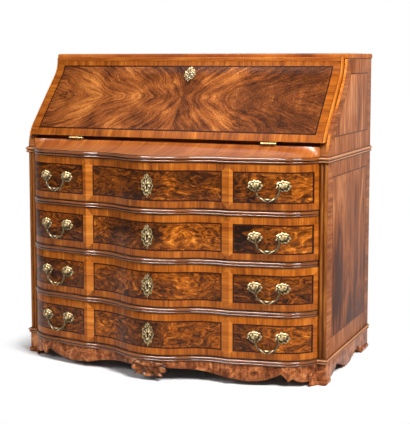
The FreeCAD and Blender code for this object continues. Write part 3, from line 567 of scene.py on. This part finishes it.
def brass_material(name, cast):
    """Old brass: a cast piece is bright where it is rubbed and where it carries painted highlight, darker
    where it carries painted shade, and brown-green in the hollows.
    """
    g = Graph(name)
    grime = g.noise(g.place, 420.0, 4.0, 0.6)
    patch = g.noise(g.place, 90.0, 3.0, 0.6)
    value = g.total((1.15, g.relief() if cast else 0.6), (0.4, grime), (0.4, patch), (-0.5, 1.0))
    rough = g.total((-0.18, value), (0.16, grime), (0.5, 1.0))
    g.bump(grime, 0.3 * MM, 0.35)
    return g.finish(g.ramp(value, BRASS), rough, metal=0.6)


def steel_material():
    """Brushed steel with a little rust, for the locks."""
    g = Graph("lock_steel")
    rust = g.noise(g.place, 120.0, 4.0, 0.65)
    brushed = g.noise(g.scaled(g.place, (30.0, 700.0, 700.0)), 1.0)
    colour = g.ramp(g.total((0.7, rust), (0.3, brushed)), STEEL)
    g.bump(brushed, 0.1 * MM, 0.3)
    return g.finish(colour, g.total((0.3, rust), (0.3, 1.0)), metal=0.9)


# Meshes


def scene_object(name, data):
    """A new object in the scene."""
    made = bpy.data.objects.new(name, data)
    scene.collection.objects.link(made)
    return made


class Shape:
    """Points and faces gathered for one piece, with how bright each point is drawn: partly rubbed wear,
    partly painted highlight and painted shade.
    """

    def __init__(self):
        self.points, self.faces, self.relief = [], [], []

    def loft(self, loops, relief=(0.5,), capped=True):
        """Joins closed loops of equal length; relief is for all points, or for one loop and repeated."""
        start, size = len(self.points), len(loops[0])
        self.points += [Vector(point) for loop in loops for point in loop]
        self.relief += list(relief) * (len(loops) * size // len(relief))
        for a in range(start, len(self.points) - size, size):
            for j in range(size):
                k = (j + 1) % size
                self.faces.append((a + j, a + k, a + size + k, a + size + j))
        if capped:
            self.faces.append(tuple(reversed(range(start, start + size))))
            self.faces.append(tuple(range(len(self.points) - size, len(self.points))))
        return self

    def plate(self, rim, hole, rise, place, rings, spokes):
        """A cast plate between a hole and a rim; rise gives height and brightness."""
        turns = [TAU * j / spokes for j in range(spokes)]
        loops = [[place(x, plate_floor, z) for x, z in map(hole, turns)]]
        relief = [0.0] * spokes
        for i in range(rings + 1):
            share = i / rings
            loops.append([])
            for turn in turns:
                (x0, z0), (x1, z1) = hole(turn), rim(turn)
                x, z = x0 + (x1 - x0) * share, z0 + (z1 - z0) * share
                height, bright = rise(share, turn, x, z)
                loops[-1].append(place(x, height, z))
                relief.append(bright)
        loops.append([place(x, 0.0, z) for x, z in map(rim, turns)])
        return self.loft(loops, relief + [0.0] * spokes)

    def tube(self, path, radius, bright, sides=14):
        """A round bar along a path; radius and bright are read at each share of its length."""
        last = len(path) - 1
        turns = [TAU * j / sides for j in range(sides)]
        loops, relief, normal = [], [], None
        for i, point in enumerate(path):
            ahead = (path[min(i + 1, last)] - path[max(i - 1, 0)]).normalized()
            normal = normal or ahead.orthogonal().normalized()
            normal = (normal - ahead * normal.dot(ahead)).normalized()
            other = ahead.cross(normal)
            share = i / last
            relief += [bright(share, turn) for turn in turns]
            loops.append([point + (normal * cos(t) + other * sin(t)) * radius(share, t) for t in turns])
        return self.loft(loops, relief)

    def sink(self, low, high, depth):
        """Pushes the faces that lie inside a box up into a pocket."""
        inside = {i for i, p in enumerate(self.points) if all(low[k] <= p[k] <= high[k] for k in range(3))}
        pressed = [face for face in self.faces if inside.issuperset(face)]
        self.faces = [face for face in self.faces if not inside.issuperset(face)]
        moved = {}
        for i in sorted({i for face in pressed for i in face}):
            moved[i] = len(self.points)
            self.points.append(self.points[i] + Vector((0, 0, depth)))
            self.relief.append(0.0)
        edges = {(a, b) for face in pressed for a, b in zip(face, face[1:] + face[:1])}
        self.faces += [(a, b, moved[b], moved[a]) for a, b in sorted(edges) if (b, a) not in edges]
        self.faces += [tuple(moved[i] for i in face) for face in pressed]

    def build(self, name, material, sharp=180):
        """The object of the shape, smooth where its faces meet at less than the sharp angle."""
        mesh = bpy.data.meshes.new(name)
        mesh.from_pydata(self.points, [], self.faces)
        mesh.attributes.new("relief", "FLOAT", "POINT").data.foreach_set("value", self.relief)
        mesh.materials.append(material)
        mesh.shade_smooth()
        mesh.set_sharp_from_angle(angle=radians(sharp))
        return scene_object(name, mesh)

    def piece(self, name, body, material, slot, nodes=(), sharp=32):
        made = self.build(name, material, sharp)
        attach(made, body)
        if nodes:
            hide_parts(*nodes)


# The serpentine plan


def tangent_circle(start, end, slope):
    """Centre, radius and side of the arc that leaves start at a slope and reaches end."""
    normal = Vector((sin(slope), cos(slope)))
    chord = end - start
    push = chord.length_squared / (2 * normal.dot(chord))
    return start + normal * push, abs(push), -copysign(1, push)


bow_drop = bow_reach - hollow_reach
bow_radius = (hollow_x**2 + bow_drop**2) / (4 * bow_drop)
cusp_reach = hollow_reach + bow_radius - sqrt(bow_radius**2 - (cusp_x - hollow_x) ** 2)
shoulder = Vector((opening_half - shoulder_from_stile, shoulder_reach))

# Each arc: where it ends, its steps, and its centre, radius and side
PLAN = [
    (hollow_x / 2, 12, (Vector((0, bow_reach - bow_radius)), bow_radius, 1)),
    (cusp_x, 14, (Vector((hollow_x, hollow_reach + bow_radius)), bow_radius, -1)),
    (shoulder.x, 8, tangent_circle(shoulder, Vector((cusp_x, cusp_reach)), shoulder_slope)),
    (opening_half, 22, tangent_circle(shoulder, Vector((opening_half, 0)), shoulder_slope)),
]


def reach(x):
    """How far the front stands forward of the stile face at x."""
    x = min(abs(x), opening_half)
    for limit, _, (centre, radius, side) in PLAN:
        if x <= limit:
            return centre.y + side * sqrt(max(radius**2 - (x - centre.x) ** 2, 0))
    return 0.0


def stations(half):
    """Places along the plan from left to right, closer where it bends."""
    right, start = [], 0.0
    for limit, steps, (centre, radius, _) in PLAN:
        a, b = (asin((x - centre.x) / radius) for x in (start, limit))
        right += [centre.x + radius * sin(a + (b - a) * i / steps) for i in range(1, steps + 1)]
        start = limit
    right = [x for x in right if x < half] + [half]
    return [-x for x in reversed(right)] + [0.0] + right


def face_turn(x):
    """Turn of the drawer face about Z at x."""
    step = 0.5 * MM
    return atan2(reach(x - step) - reach(x + step), 2 * step)


# Drawer fronts, rails, mouldings and the shoulder


def rounded_corner(y, z, radius, start, steps=3):
    """Points of a quarter round in the YZ plane, from the angle start onwards."""
    turns = [start + pi / 2 * i / steps for i in range(steps + 1)]
    return [(y + radius * cos(turn), z + radius * sin(turn)) for turn in turns]


def drawer_front(drawer, material):
    """A serpentine front with eased upper and lower edges."""
    low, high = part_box(f"{drawer}_front")
    r = front_edge_radius
    loops = []
    for x in stations(front_high.x):
        y = stile_y - reach(x)
        outline = [(y + front_thickness, high.z)]
        outline += rounded_corner(y + r, high.z - r, r, pi / 2)
        outline += rounded_corner(y + r, low.z + r, r, pi)
        outline += [(y + front_thickness, low.z)]
        loops.append([(x, py, pz) for py, pz in outline])
    Shape().loft(loops).piece(f"{drawer}_veneered_front", drawer, material, "burl", [f"{drawer}_front"], 18)


def bead(low, high, proud, steps=8):
    """A half-round bead between two levels, as (projection, level) points."""
    turns = [pi * i / steps for i in range(steps + 1)]
    swell, height = proud - moulding_root, high - low
    return [(moulding_root + swell * sin(t), low + height * (1 - cos(t)) / 2) for t in turns]


def double_bead(low, high):
    """The profile of a moulding: two beads with a quirk between them, and small fillets."""
    height = high - low
    fillet, quirk = 0.07 * height, 0.1 * height
    middle = low + 0.42 * height
    points = [(0.0, low), (moulding_root, low)]
    points += bead(low + fillet, middle - quirk / 2, moulding_low_proud)
    points += bead(middle + quirk / 2, high - fillet, moulding_proud)
    return points + [(moulding_root, high), (0.0, high)]


def painted_bead_light(profile):
    """How bright each point of a moulding is drawn: lightest on the crowns of its beads, as wear and painted
    highlight, and darkest at the root and in the quirk, as painted shade.
    """
    swell = moulding_low_proud - moulding_root
    return [min(max(out - moulding_root, 0) / swell, 1) for out, _ in profile]


def rail(shape, low, high, drawer=None):
    """A rail between the stiles with a moulded front edge, mortised below for a drawer's lock bolt."""
    profile = double_bead(low, high)
    back = stile_y + rail_depth
    places, under = stations(opening_half), [(back, high, 0), (back, low, 0)]
    if drawer:
        bolt_low, bolt_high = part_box(f"drawer_{drawer}_lock_bolt")
        room = Vector((bolt_gap, bolt_gap, 0))
        slot_low, slot_high = bolt_low - room, bolt_high + room
        places = sorted(places + [slot_low.x, slot_high.x])
        under += [(slot_high.y, low, 2 * slot_margin), (slot_low.y, low, slot_margin)]
    loops = []
    for x in places:
        y = stile_y - reach(x)
        loop = [(x, y - out, z) for out, z in profile]
        loops.append(loop + [(x, max(py, y + inset), pz) for py, pz, inset in under])
    shape.loft(loops, painted_bead_light(profile) + [0.0] * len(under))
    if drawer:
        hair = Vector((1, 1, 1)) * 0.01 * MM
        floor, roof = (Vector((corner.x, corner.y, low)) for corner in (slot_low, slot_high))
        shape.sink(floor - hair, roof + hair, bolt_room)


def corner_run(shape, low, high, side):
    """A moulding across one stile and round the corner to the back."""
    profile = double_bead(low, high)
    runs = (opening_half, stile_y, 0, 1), (half_width, stile_y, 1, 1), (half_width, back_y, 1, 0)
    loops = []
    for x, y, aside, ahead in runs:
        loops.append([(side * (x + aside * out), y - ahead * out, z) for out, z in profile])
    if side < 0:
        loops.reverse()
    shape.loft(loops, painted_bead_light(profile))


def carcass_mouldings(material, return_material):
    """The beads of the waist, the base and the rails, and those that run back along the sides."""
    levels = (waist_low.z, waist_high.z), (base_low.z, base_high.z)
    waist, base, returns, dividers = Shape(), Shape(), Shape(), Shape()
    rail(waist, *levels[0], 1)
    rail(base, *levels[1])
    for low, high in levels:
        for side in (-1, 1):
            corner_run(returns, low, high, side)
    for number in range(2, drawer_count + 1):
        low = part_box(f"drawer_{number}_front")[1].z + rail_gap
        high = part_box(f"drawer_{number - 1}_front")[0].z - rail_gap
        rail(dividers, low, high, number)
    returns.piece("side_beads", "carcass", return_material, "moulding")
    waist.piece("waist_beads", "carcass", material, "moulding", ["waist_moulding"])
    base.piece("base_beads", "carcass", material, "moulding", ["base_moulding"])
    dividers.piece("divider_beads", "carcass", material, "moulding", ["drawer_rails"])


def shoulder_piece(material):
    """The hollow shoulder from the serpentine waist up to the straight line under the fall."""
    rows = 12
    back, height = frieze_high.y, frieze_high.z - frieze_low.z
    top = stile_y + frieze_setback
    loops = []
    for x in stations(opening_half):
        y = stile_y - reach(x) + frieze_setback
        outline = []
        for i in range(rows + 1):
            share = i / rows
            turn = share * pi / 2
            along = (1 - frieze_hollow) * share + frieze_hollow * sin(turn)
            up = (1 - frieze_hollow) * share + frieze_hollow * (1 - cos(turn))
            outline.append((y + (top - y) * along, frieze_low.z + height * up))
        outline += [(back, frieze_high.z), (back, frieze_low.z)]
        loops.append([(x, py, pz) for py, pz in outline])
    Shape().loft(loops).piece("veneered_shoulder", "carcass", material, "walnut", ["frieze_front"], 26)


# Brass


def packed_joint(name):
    return next(joint for joint in frame["joints"] if joint["name"] == name)


def handle_frame(drawer, side):
    """Axis point, direction along the handle and direction out of it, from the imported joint."""
    joint = packed_joint(f"{drawer}_bail_{side}_swing")
    along = -Vector(joint["axis"]).normalized()
    return Vector(joint["pos_m"]), along, Vector((along.y, -along.x, 0))


def on_face(foot, turn=0.0):
    """Places the points of a plate that stands on foot and looks forward, turned about Z."""
    across = Vector((cos(turn), sin(turn), 0))
    forward = Vector((across.y, -across.x, 0))
    return lambda x, height, z: foot + across * x + forward * height + Vector((0, 0, z))


def bell(value, middle, width):
    """1 at the middle, falling away on both sides."""
    return exp(-(((value - middle) / width) ** 2))


def filigree(x, z):
    """An uneven pattern of small curls, from -1 to 1."""
    across = sin(x / (1.9 * MM) + 1.7 * sin(z / (5.1 * MM)))
    return across * sin(z / (2.6 * MM) + 1.4 * sin(x / (3.7 * MM) + 0.8))


def rose_rise(share, turn, x, z):
    """A fluted shell over ruffled leaves."""
    shell = 0.68
    curl = filigree(x, z)
    fan = atan2(x, z + 0.75 * rose_half_height)
    if share < shell:
        ball = sqrt(max(1 - (share / shell) ** 2, 0))
        flute = cos(13 * fan)
        # Painted light: the shell is drawn lighter towards its top; the dome and the flute crests are rubbed
        # lighter.
        lit = 0.2 + 0.26 * ball + 0.26 * z / rose_half_height + 0.26 * flute * (1 - 0.5 * ball)
        return (3.0 + 6.2 * ball + 0.5 * flute) * MM, lit + 0.18 * curl
    out = (share - shell) / (1 - shell)
    swell = sin(pi * min(out * 1.1, 1.0))
    height = 1.6 + (1.4 + 1.2 * curl) * swell + 0.8 * (1 - out)
    return height * MM, 0.22 + (0.3 + 0.55 * curl) * swell + 0.25 * out


def rose_rim(turn):
    """Leaves that stand out at the sides and draw in below the shell."""
    wave = 0.9 + 0.06 * cos(2 * turn) + 0.05 * cos(7 * turn + 0.6) + 0.05 * cos(11 * turn)
    return rose_half_width * wave * cos(turn), rose_half_height * wave * sin(turn)


def no_hole(turn):
    return 0.05 * MM * cos(turn), 0.05 * MM * sin(turn)


def post_radius(share, turn):
    """A round nut in front of a slender post."""
    nut = sqrt(max(1 - ((share - 0.22) / 0.22) ** 2, 0.02)) if share < 0.44 else 0.0
    return max(nut_radius * nut, post_thickness)


def roses(drawer, material):
    """Four cast roses on the face of a drawer, each with the post of a bail."""
    shape = Shape()
    for side in ("left", "right"):
        axis, along, out = handle_frame(drawer, side)
        for end in (-1, 1):
            post = axis + along * end * post_pitch / 2
            foot = Vector((post.x, stile_y - reach(post.x), post.z))
            shape.plate(rose_rim, no_hole, rose_rise, on_face(foot, face_turn(post.x)), 16, 96)
            tip = post + out * post_tip
            line = [tip + (foot - tip) * i / 8 for i in range(9)]
            shape.tube(line, post_radius, lambda share, turn: 0.7 - 0.3 * share, 12)
    shape.piece(f"{drawer}_rocaille_roses", drawer, material, "brass", [f"{drawer}_roses"], 50)


def bail_path():
    """Middle line of a bail, from the left pin to the right one, as (along, up) points."""
    bend, steps = bail_drop - bail_arm, 14
    centre = bail_half_span - bend
    half = [(pin_end, 0.0), (pin_end - 3 * MM, 0.0), (bail_half_span + 1.5 * MM, -1 * MM)]
    half += [(bail_half_span, -4 * MM), (bail_half_span - 0.6 * MM, -bail_arm * 0.65)]
    for i in range(steps + 1):
        turn = pi / 2 * i / steps
        half.append((centre + bend * cos(turn), -bail_arm - bend * sin(turn)))
    half += [(centre * (1 - i / 3), -bail_drop) for i in (1, 2)]
    return [(-along, up) for along, up in half] + [(0.0, -bail_drop)] + half[::-1]


def bail_thickness(share, turn):
    """Swells to a leafy knop at the middle, with small collars on the arms."""
    from_middle = abs(share - 0.5)
    knop = bell(from_middle, 0, 0.1)
    collar = bell(from_middle, 0.3, 0.018) + bell(from_middle, 0.16, 0.02)
    leaf = 0.18 * knop * cos(3 * turn + 40 * from_middle)
    body = 0.85 + 0.4 * bell(from_middle, 0, 0.2)
    return bail_radius * (body + 0.35 * knop + 0.35 * collar + leaf)


def bail_bright(share, turn):
    from_middle = abs(share - 0.5)
    leaf = cos(3 * turn + 40 * from_middle) * (1 if from_middle < 0.16 else 0.3)
    # Painted shade: one side of the bar is drawn darker.
    return 0.22 + 0.4 * leaf - 0.12 * cos(turn)


def bails(drawer, material):
    """The two bails of a drawer, each on its own body."""
    for side in ("left", "right"):
        axis, along, _ = handle_frame(drawer, side)
        path = [axis + along * a + Vector((0, 0, b)) for a, b in bail_path()]
        shape = Shape().tube(path, bail_thickness, bail_bright)
        node = f"{drawer}_bail_{side}"
        shape.piece(f"{drawer}_cast_bail_{side}", node, material, "brass", [node], 50)


def keyhole(turn):
    """Outline of a keyhole: a round eye over a narrow slot."""
    eye, slot, length = 4.8 * MM, 2.8 * MM, 14 * MM
    down = abs((turn + pi / 2 + pi) % TAU - pi)
    size = eye
    if down < pi / 2:
        size = max(eye, min(length, slot / max(sin(down), 0.05)))
    return size * cos(turn), size * sin(turn)


def cartouche(name, body, node, half, place, material, painted_shade=0.0):
    """A cast plate of scrolls that curl out from a collar round a keyhole; it can be drawn darker all over,
    as painted shade for a plate that faces up into the lamps.
    """

    def rim(turn):
        leaf = 0.9 + 0.07 * cos(9 * turn + 0.5) + 0.05 * cos(16 * turn)
        point = 0.1 * bell(cos(turn), 0, 0.2)
        narrow = 0.6 + 0.4 * abs(cos(turn))
        return half[0] * leaf * narrow * cos(turn), half[1] * (leaf + point) * sin(turn)

    def rise(share, turn, x, z):
        collar = bell(share, 0.14, 0.12)
        border = bell(share, 0.9, 0.1)
        curl = filigree(x, z) * sin(pi * min(0.05 + share, 1.0))
        height = 1.6 + 2.4 * collar + 0.8 * border + 1.4 * curl
        return height * MM, 0.34 + 0.42 * collar + 0.25 * border + 0.5 * curl - painted_shade

    shape = Shape().plate(rim, keyhole, rise, place, 14, 96)
    shape.piece(name, body, material, "brass", [node], 60)


def drawer_escutcheon(drawer, material):
    node = f"{drawer}_escutcheon"
    low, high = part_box(node)
    place = on_face(Vector((0, high.y, (low.z + high.z) / 2)))
    cartouche(f"{drawer}_cartouche", drawer, node, plate_half, place, material)


def fall_escutcheon(material):
    """A smaller cartouche bent to the upper curve of the fall."""
    radius = slant_radius - fall_face
    centre = Vector((0, stile_y + slant_inset + slant_setback - slant_radius, side_high.z))
    middle_turn = asin(fall_plate_drop / radius)

    def place(x, height, up):
        turn = middle_turn - up / radius
        spare = max(turn - slant_straight, 0.0) * radius
        turn = min(turn, slant_straight)
        out = Vector((0, -cos(turn), sin(turn)))
        along = Vector((0, -sin(turn), -cos(turn)))
        return centre - out * (radius - height) + along * spare + Vector((x, 0, 0))

    # Painted shade: this plate is drawn darker, as it faces up into the lamps.
    cartouche("fall_cartouche", "fall", "fall_escutcheon", fall_plate_half, place, material, 0.16)


def hinges(name, node, body, material):
    """Slim barrels on the hinge line, each with a leaf that runs back from it."""
    line = Vector(packed_joint("fall_hinge")["pos_m"])
    low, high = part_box(node)
    is_bed = body == "carcass"
    drop = line.z - low.z if is_bed else high.z - line.z
    depth = high.y - line.y
    leaf = [(depth, -drop), (depth, hinge_leaf - drop)]
    turns = [radians(20 + 320 * i / 16) for i in range(17)]
    barrel = [(hinge_barrel * cos(turn), hinge_barrel * sin(turn)) for turn in turns]
    neck = hinge_leaf / 2
    knuckle = barrel + [(hinge_neck, -neck), (hinge_neck, -drop)] + leaf
    knuckle += [(hinge_neck + hinge_leaf, hinge_leaf - drop), (hinge_neck + hinge_leaf, neck)]
    plate = [(hinge_neck, -drop)] + leaf + [(hinge_neck, hinge_leaf - drop)]
    half = hinge_length / 2
    middle = high.x - half
    flip = 1 if is_bed else -1
    shape = Shape()
    for outline, start in ((knuckle, -half if is_bed else 0.0), (plate, 0.0 if is_bed else -half)):
        for side in (-1, 1):
            ends = [side * (middle + start + hinge_play), side * (middle + start + half - hinge_play)]
            shape.loft([[(x, line.y + back, line.z + flip * up) for back, up in outline] for x in ends])
    shape.piece(name, body, material, "brass", [node], 40)


# Carved pendant


def leaf_rise(share, turn, x, z):
    """Leaves that fan down from the middle of the top and roll over at their tips."""
    rib = cos(pendant_leaves * turn)
    roll = bell(share, 0.8, 0.14)
    curl = filigree(0.4 * x, 0.4 * z)
    drop = max((share - 0.9) / 0.1, 0.0) ** 2
    height = 6.0 + 2.6 * roll + 1.6 * rib * share + 1.4 * curl - 4.0 * drop
    # Lighter on the rolled tips and ribs, partly wear and partly painted highlight; darker where the leaves
    # drop to the apron, painted shade.
    return height * MM, 0.34 + 0.3 * roll + 0.3 * rib * share + 0.25 * curl - 0.4 * drop


def pendant(material):
    """A carved bunch of leaves in the middle of the front apron."""
    low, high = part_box("apron_pendant")
    half = (high - low) / 2
    middle = Vector((low.x + half.x, low.y + pendant_depth, low.z + half.z))

    def rim(turn):
        across, up = cos(turn), sin(turn)
        tip = 0.92 + 0.08 * cos(pendant_leaves * turn) if up < 0.3 else 1.0
        x = half.x * tip * copysign(abs(across) ** 0.7, across)
        return x, half.z * tip * copysign(abs(up) ** 0.6, up)

    shape = Shape().plate(rim, no_hole, leaf_rise, on_face(middle), 24, 180)
    shape.piece("carved_pendant", "carcass", material, "walnut", ["apron_pendant"], 40)


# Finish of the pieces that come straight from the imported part


def dress(nodes, material, arris):
    """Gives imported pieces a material, and rounds their arrises by so many millimetres."""
    for node in nodes:
        made = frame["nodes"][node]
        made.data.materials.clear()
        made.data.materials.append(material)
        if not arris:
            continue
        made.data.shade_smooth()
        made.modifiers.new("weld", "WELD").merge_threshold = 0.01 * MM
        bevel = made.modifiers.new("arris", "BEVEL")
        bevel.width = arris * MM
        bevel.segments = 2
        bevel.limit_method = "ANGLE"
        bevel.angle_limit = radians(32)
        bevel.harden_normals = True


brass = brass_material("antique_brass", True)
hinge_brass = brass_material("hinge_brass", False)
steel = steel_material()
beads = {"relief": (0.85, -0.2), "rough": 0.45, "specular": 0.06}
moulding = grained_material("polished_moulding", MOULDING, "xz", 2.0, coat=1.0, **beads)
# The side beads are drawn paler than the front beads: the side veneer's tone, with painted light where the
# sides face the key lamp.
side_moulding = grained_material("side_moulding", RETURN, "yz", 2.0, coat=0.2, **beads)
carved = grained_material("carved_walnut", CARVED, "zx", 5.0, relief=(0.9, -0.15))
shoulder_veneer = grained_material(
    "cross_grained_shoulder", SHOULDER, "zx", 6.0, rough=0.4, coat=0.4, specular=0.12, coat_rough=0.3
)
apron_veneer = grained_material("apron_walnut", APRON, "zx", 8.0, mottle=2.0, specular=0.1)
side_apron_veneer = grained_material("side_apron_walnut", APRON, "zy", 8.5, mottle=1.5, specular=0.1)
top_veneer = grained_material("top_walnut", SHOULDER, "xy", 3.0, rough=0.5, coat=0.0, specular=0.08)
# The left stile carries painted light.
stile_veneer = grained_material("stile_walnut", STILE, "zx", 4.0, painted_left_light=0.46, specular=0.1)
oak_along = grained_material("plain_oak", PLAIN_OAK, "yx", 5.0, rough=0.6, coat=0.0)
oak_across = grained_material("plain_oak_boards", PLAIN_OAK, "xy", 5.5, rough=0.6, coat=0.0)
oak_upright = grained_material("plain_oak_planks", PLAIN_OAK, "zx", 7.0, rough=0.65, coat=0.0)
inner_walnut = grained_material("gallery_walnut", FALL_LIGHT, "xz", 9.0)

dress(["side_left", "side_right"], side_material(), 1.2)
dress(["top_board"], top_veneer, 2.0)
dress(["back_planks"], plank_material(), 0.0)
dress(["foot_blocks"], oak_upright, 0.8)
dress(["bottom_board", "dust_boards"], oak_across, 0.8)
dress(["writing_bed", "gallery"], inner_walnut, 0.8)
dress(["corner_stiles"], stile_veneer, 0.3)
dress(["apron_front"], apron_veneer, 1.2)
dress(["apron_sides"], side_apron_veneer, 1.2)
dress(["foot_plinths"], apron_veneer, 1.0)
dress(["fall_board"], fall_material(), 3.0)
dress(["fall_lock", "fall_lock_bolt"], steel, 0.4)
dress(["inner_drawer_left", "inner_drawer_right"], inner_walnut, 0.0)
carcass_mouldings(moulding, side_moulding)
shoulder_piece(shoulder_veneer)
pendant(carved)
fall_escutcheon(brass)
hinges("slim_bed_hinges", "hinge_bed_leaves", "carcass", hinge_brass)
hinges("slim_fall_hinges", "fall_hinge_leaves", "fall", hinge_brass)
for number in range(1, drawer_count + 1):
    drawer = f"drawer_{number}"
    dress([f"{drawer}_box"], oak_along, 0.0)
    dress([f"{drawer}_lock", f"{drawer}_lock_bolt"], steel, 0.4)
    drawer_front(drawer, drawer_front_material(number))
    roses(drawer, brass)
    bails(drawer, brass)
    drawer_escutcheon(drawer, brass)


# Studio


def floor_disc():
    """A pale floor that turns to plain white away from the object."""
    g = Graph("studio_floor")
    beside = g.most(g.past(g.x, -half_width, half_width), 0.0)
    beyond = g.most(g.past(g.y, front_low.y - drawer_reach, back_y), 0.0)
    away = g.math("SQRT", g.math("MULTIPLY_ADD", beside, beside, g.math("POWER", beyond, 2.0)))
    path = g.node("LightPath")
    seen = g.most(path["Is Camera Ray"], path["Is Glossy Ray"])
    seen = g.most(seen, path["Is Transmission Ray"])
    white = g.times(g.span(away, 0.0, floor_clear, smooth=True), seen)
    g.finish(g.mix(seen, FLOOR_BOUNCE, FLOOR), 0.9, specular=0.0)
    glow = g.node("Emission", {"Strength": 1.0})
    mixed = g.node("MixShader", (white, g.shader.outputs[0], glow[0]))
    g.feed(g.tree.nodes["Material Output"].inputs["Surface"], mixed[0])

    rings, spokes = 3, 96
    turns = [TAU * j / spokes for j in range(spokes)]
    sizes = [floor_radius * i / rings + 1 * MM for i in range(rings + 1)]
    loops = [[(r * cos(t), r * sin(t), -floor_drop) for t in turns] for r in sizes]
    Shape().loft(loops, capped=False).build("studio_floor", g.owner)


def studio_world():
    """White all round for the eye; reflections find the front of the room darker."""
    g = Graph("studio", "worlds", "Generated")
    scene.world = g.owner
    path = g.node("LightPath")
    room = g.span(g.y, 0.2, 0.75, room_dark, 1.0)
    felt = g.blend(path["Is Glossy Ray"], ambient, room)
    seen = g.most(path["Is Camera Ray"], path["Is Transmission Ray"])
    back = g.tree.nodes["Background"]
    back.inputs["Color"].default_value = (1, 1, 1, 1)
    g.feed(back.inputs["Strength"], g.blend(seen, felt, 1.0))


def softbox(name, place, target, size, power, glossy=False, diffuse=True):
    """A lamp of some width and height that looks at a target."""
    data = bpy.data.lights.new(name, "AREA")
    data.shape = "RECTANGLE"
    data.size, data.size_y = size
    data.energy = power
    lamp = scene_object(name, data)
    lamp.location = place
    lamp.rotation_euler = (Vector(target) - Vector(place)).to_track_quat("-Z", "Y").to_euler()
    lamp.visible_glossy = glossy
    lamp.visible_diffuse = diffuse


def photo_camera():
    """The eye of the photograph; the frame is 410 by 424 pixels."""
    data = bpy.data.cameras.new("photo")
    data.sensor_width = 36.0
    data.lens = eye_lens
    data.shift_y = eye_shift
    eye = scene_object("photo", data)
    eye.location = eye_place
    eye.rotation_euler = (radians(90 - eye_pitch), 0, radians(eye_yaw))
    scene.camera = eye


floor_disc()
studio_world()
only_gloss = {"glossy": True, "diffuse": False}
softbox("key", (3.65, -2.56, 4.5), (0, -0.1, 0.5), (1.8, 1.8), 480, glossy=True)
softbox("fill", (-2.8, -3.2, 2.6), (0, 0, 0.5), (1.6, 1.6), 56)
softbox("glint", (0.1, -2.0, 3.2), (0.1, -0.3, 0.5), (1.8, 0.9), 330, **only_gloss)
softbox("cusp_glint", (-1.43, -2.0, 3.2), (-0.26, -0.3, 0.5), (1.2, 0.9), 230, **only_gloss)
softbox("window", (-0.48, 1.13, 2.8), (0.3, -0.25, 0.75), (1.0, 0.9), 36, **only_gloss)
photo_camera()
scene.view_settings.view_transform = "Standard"
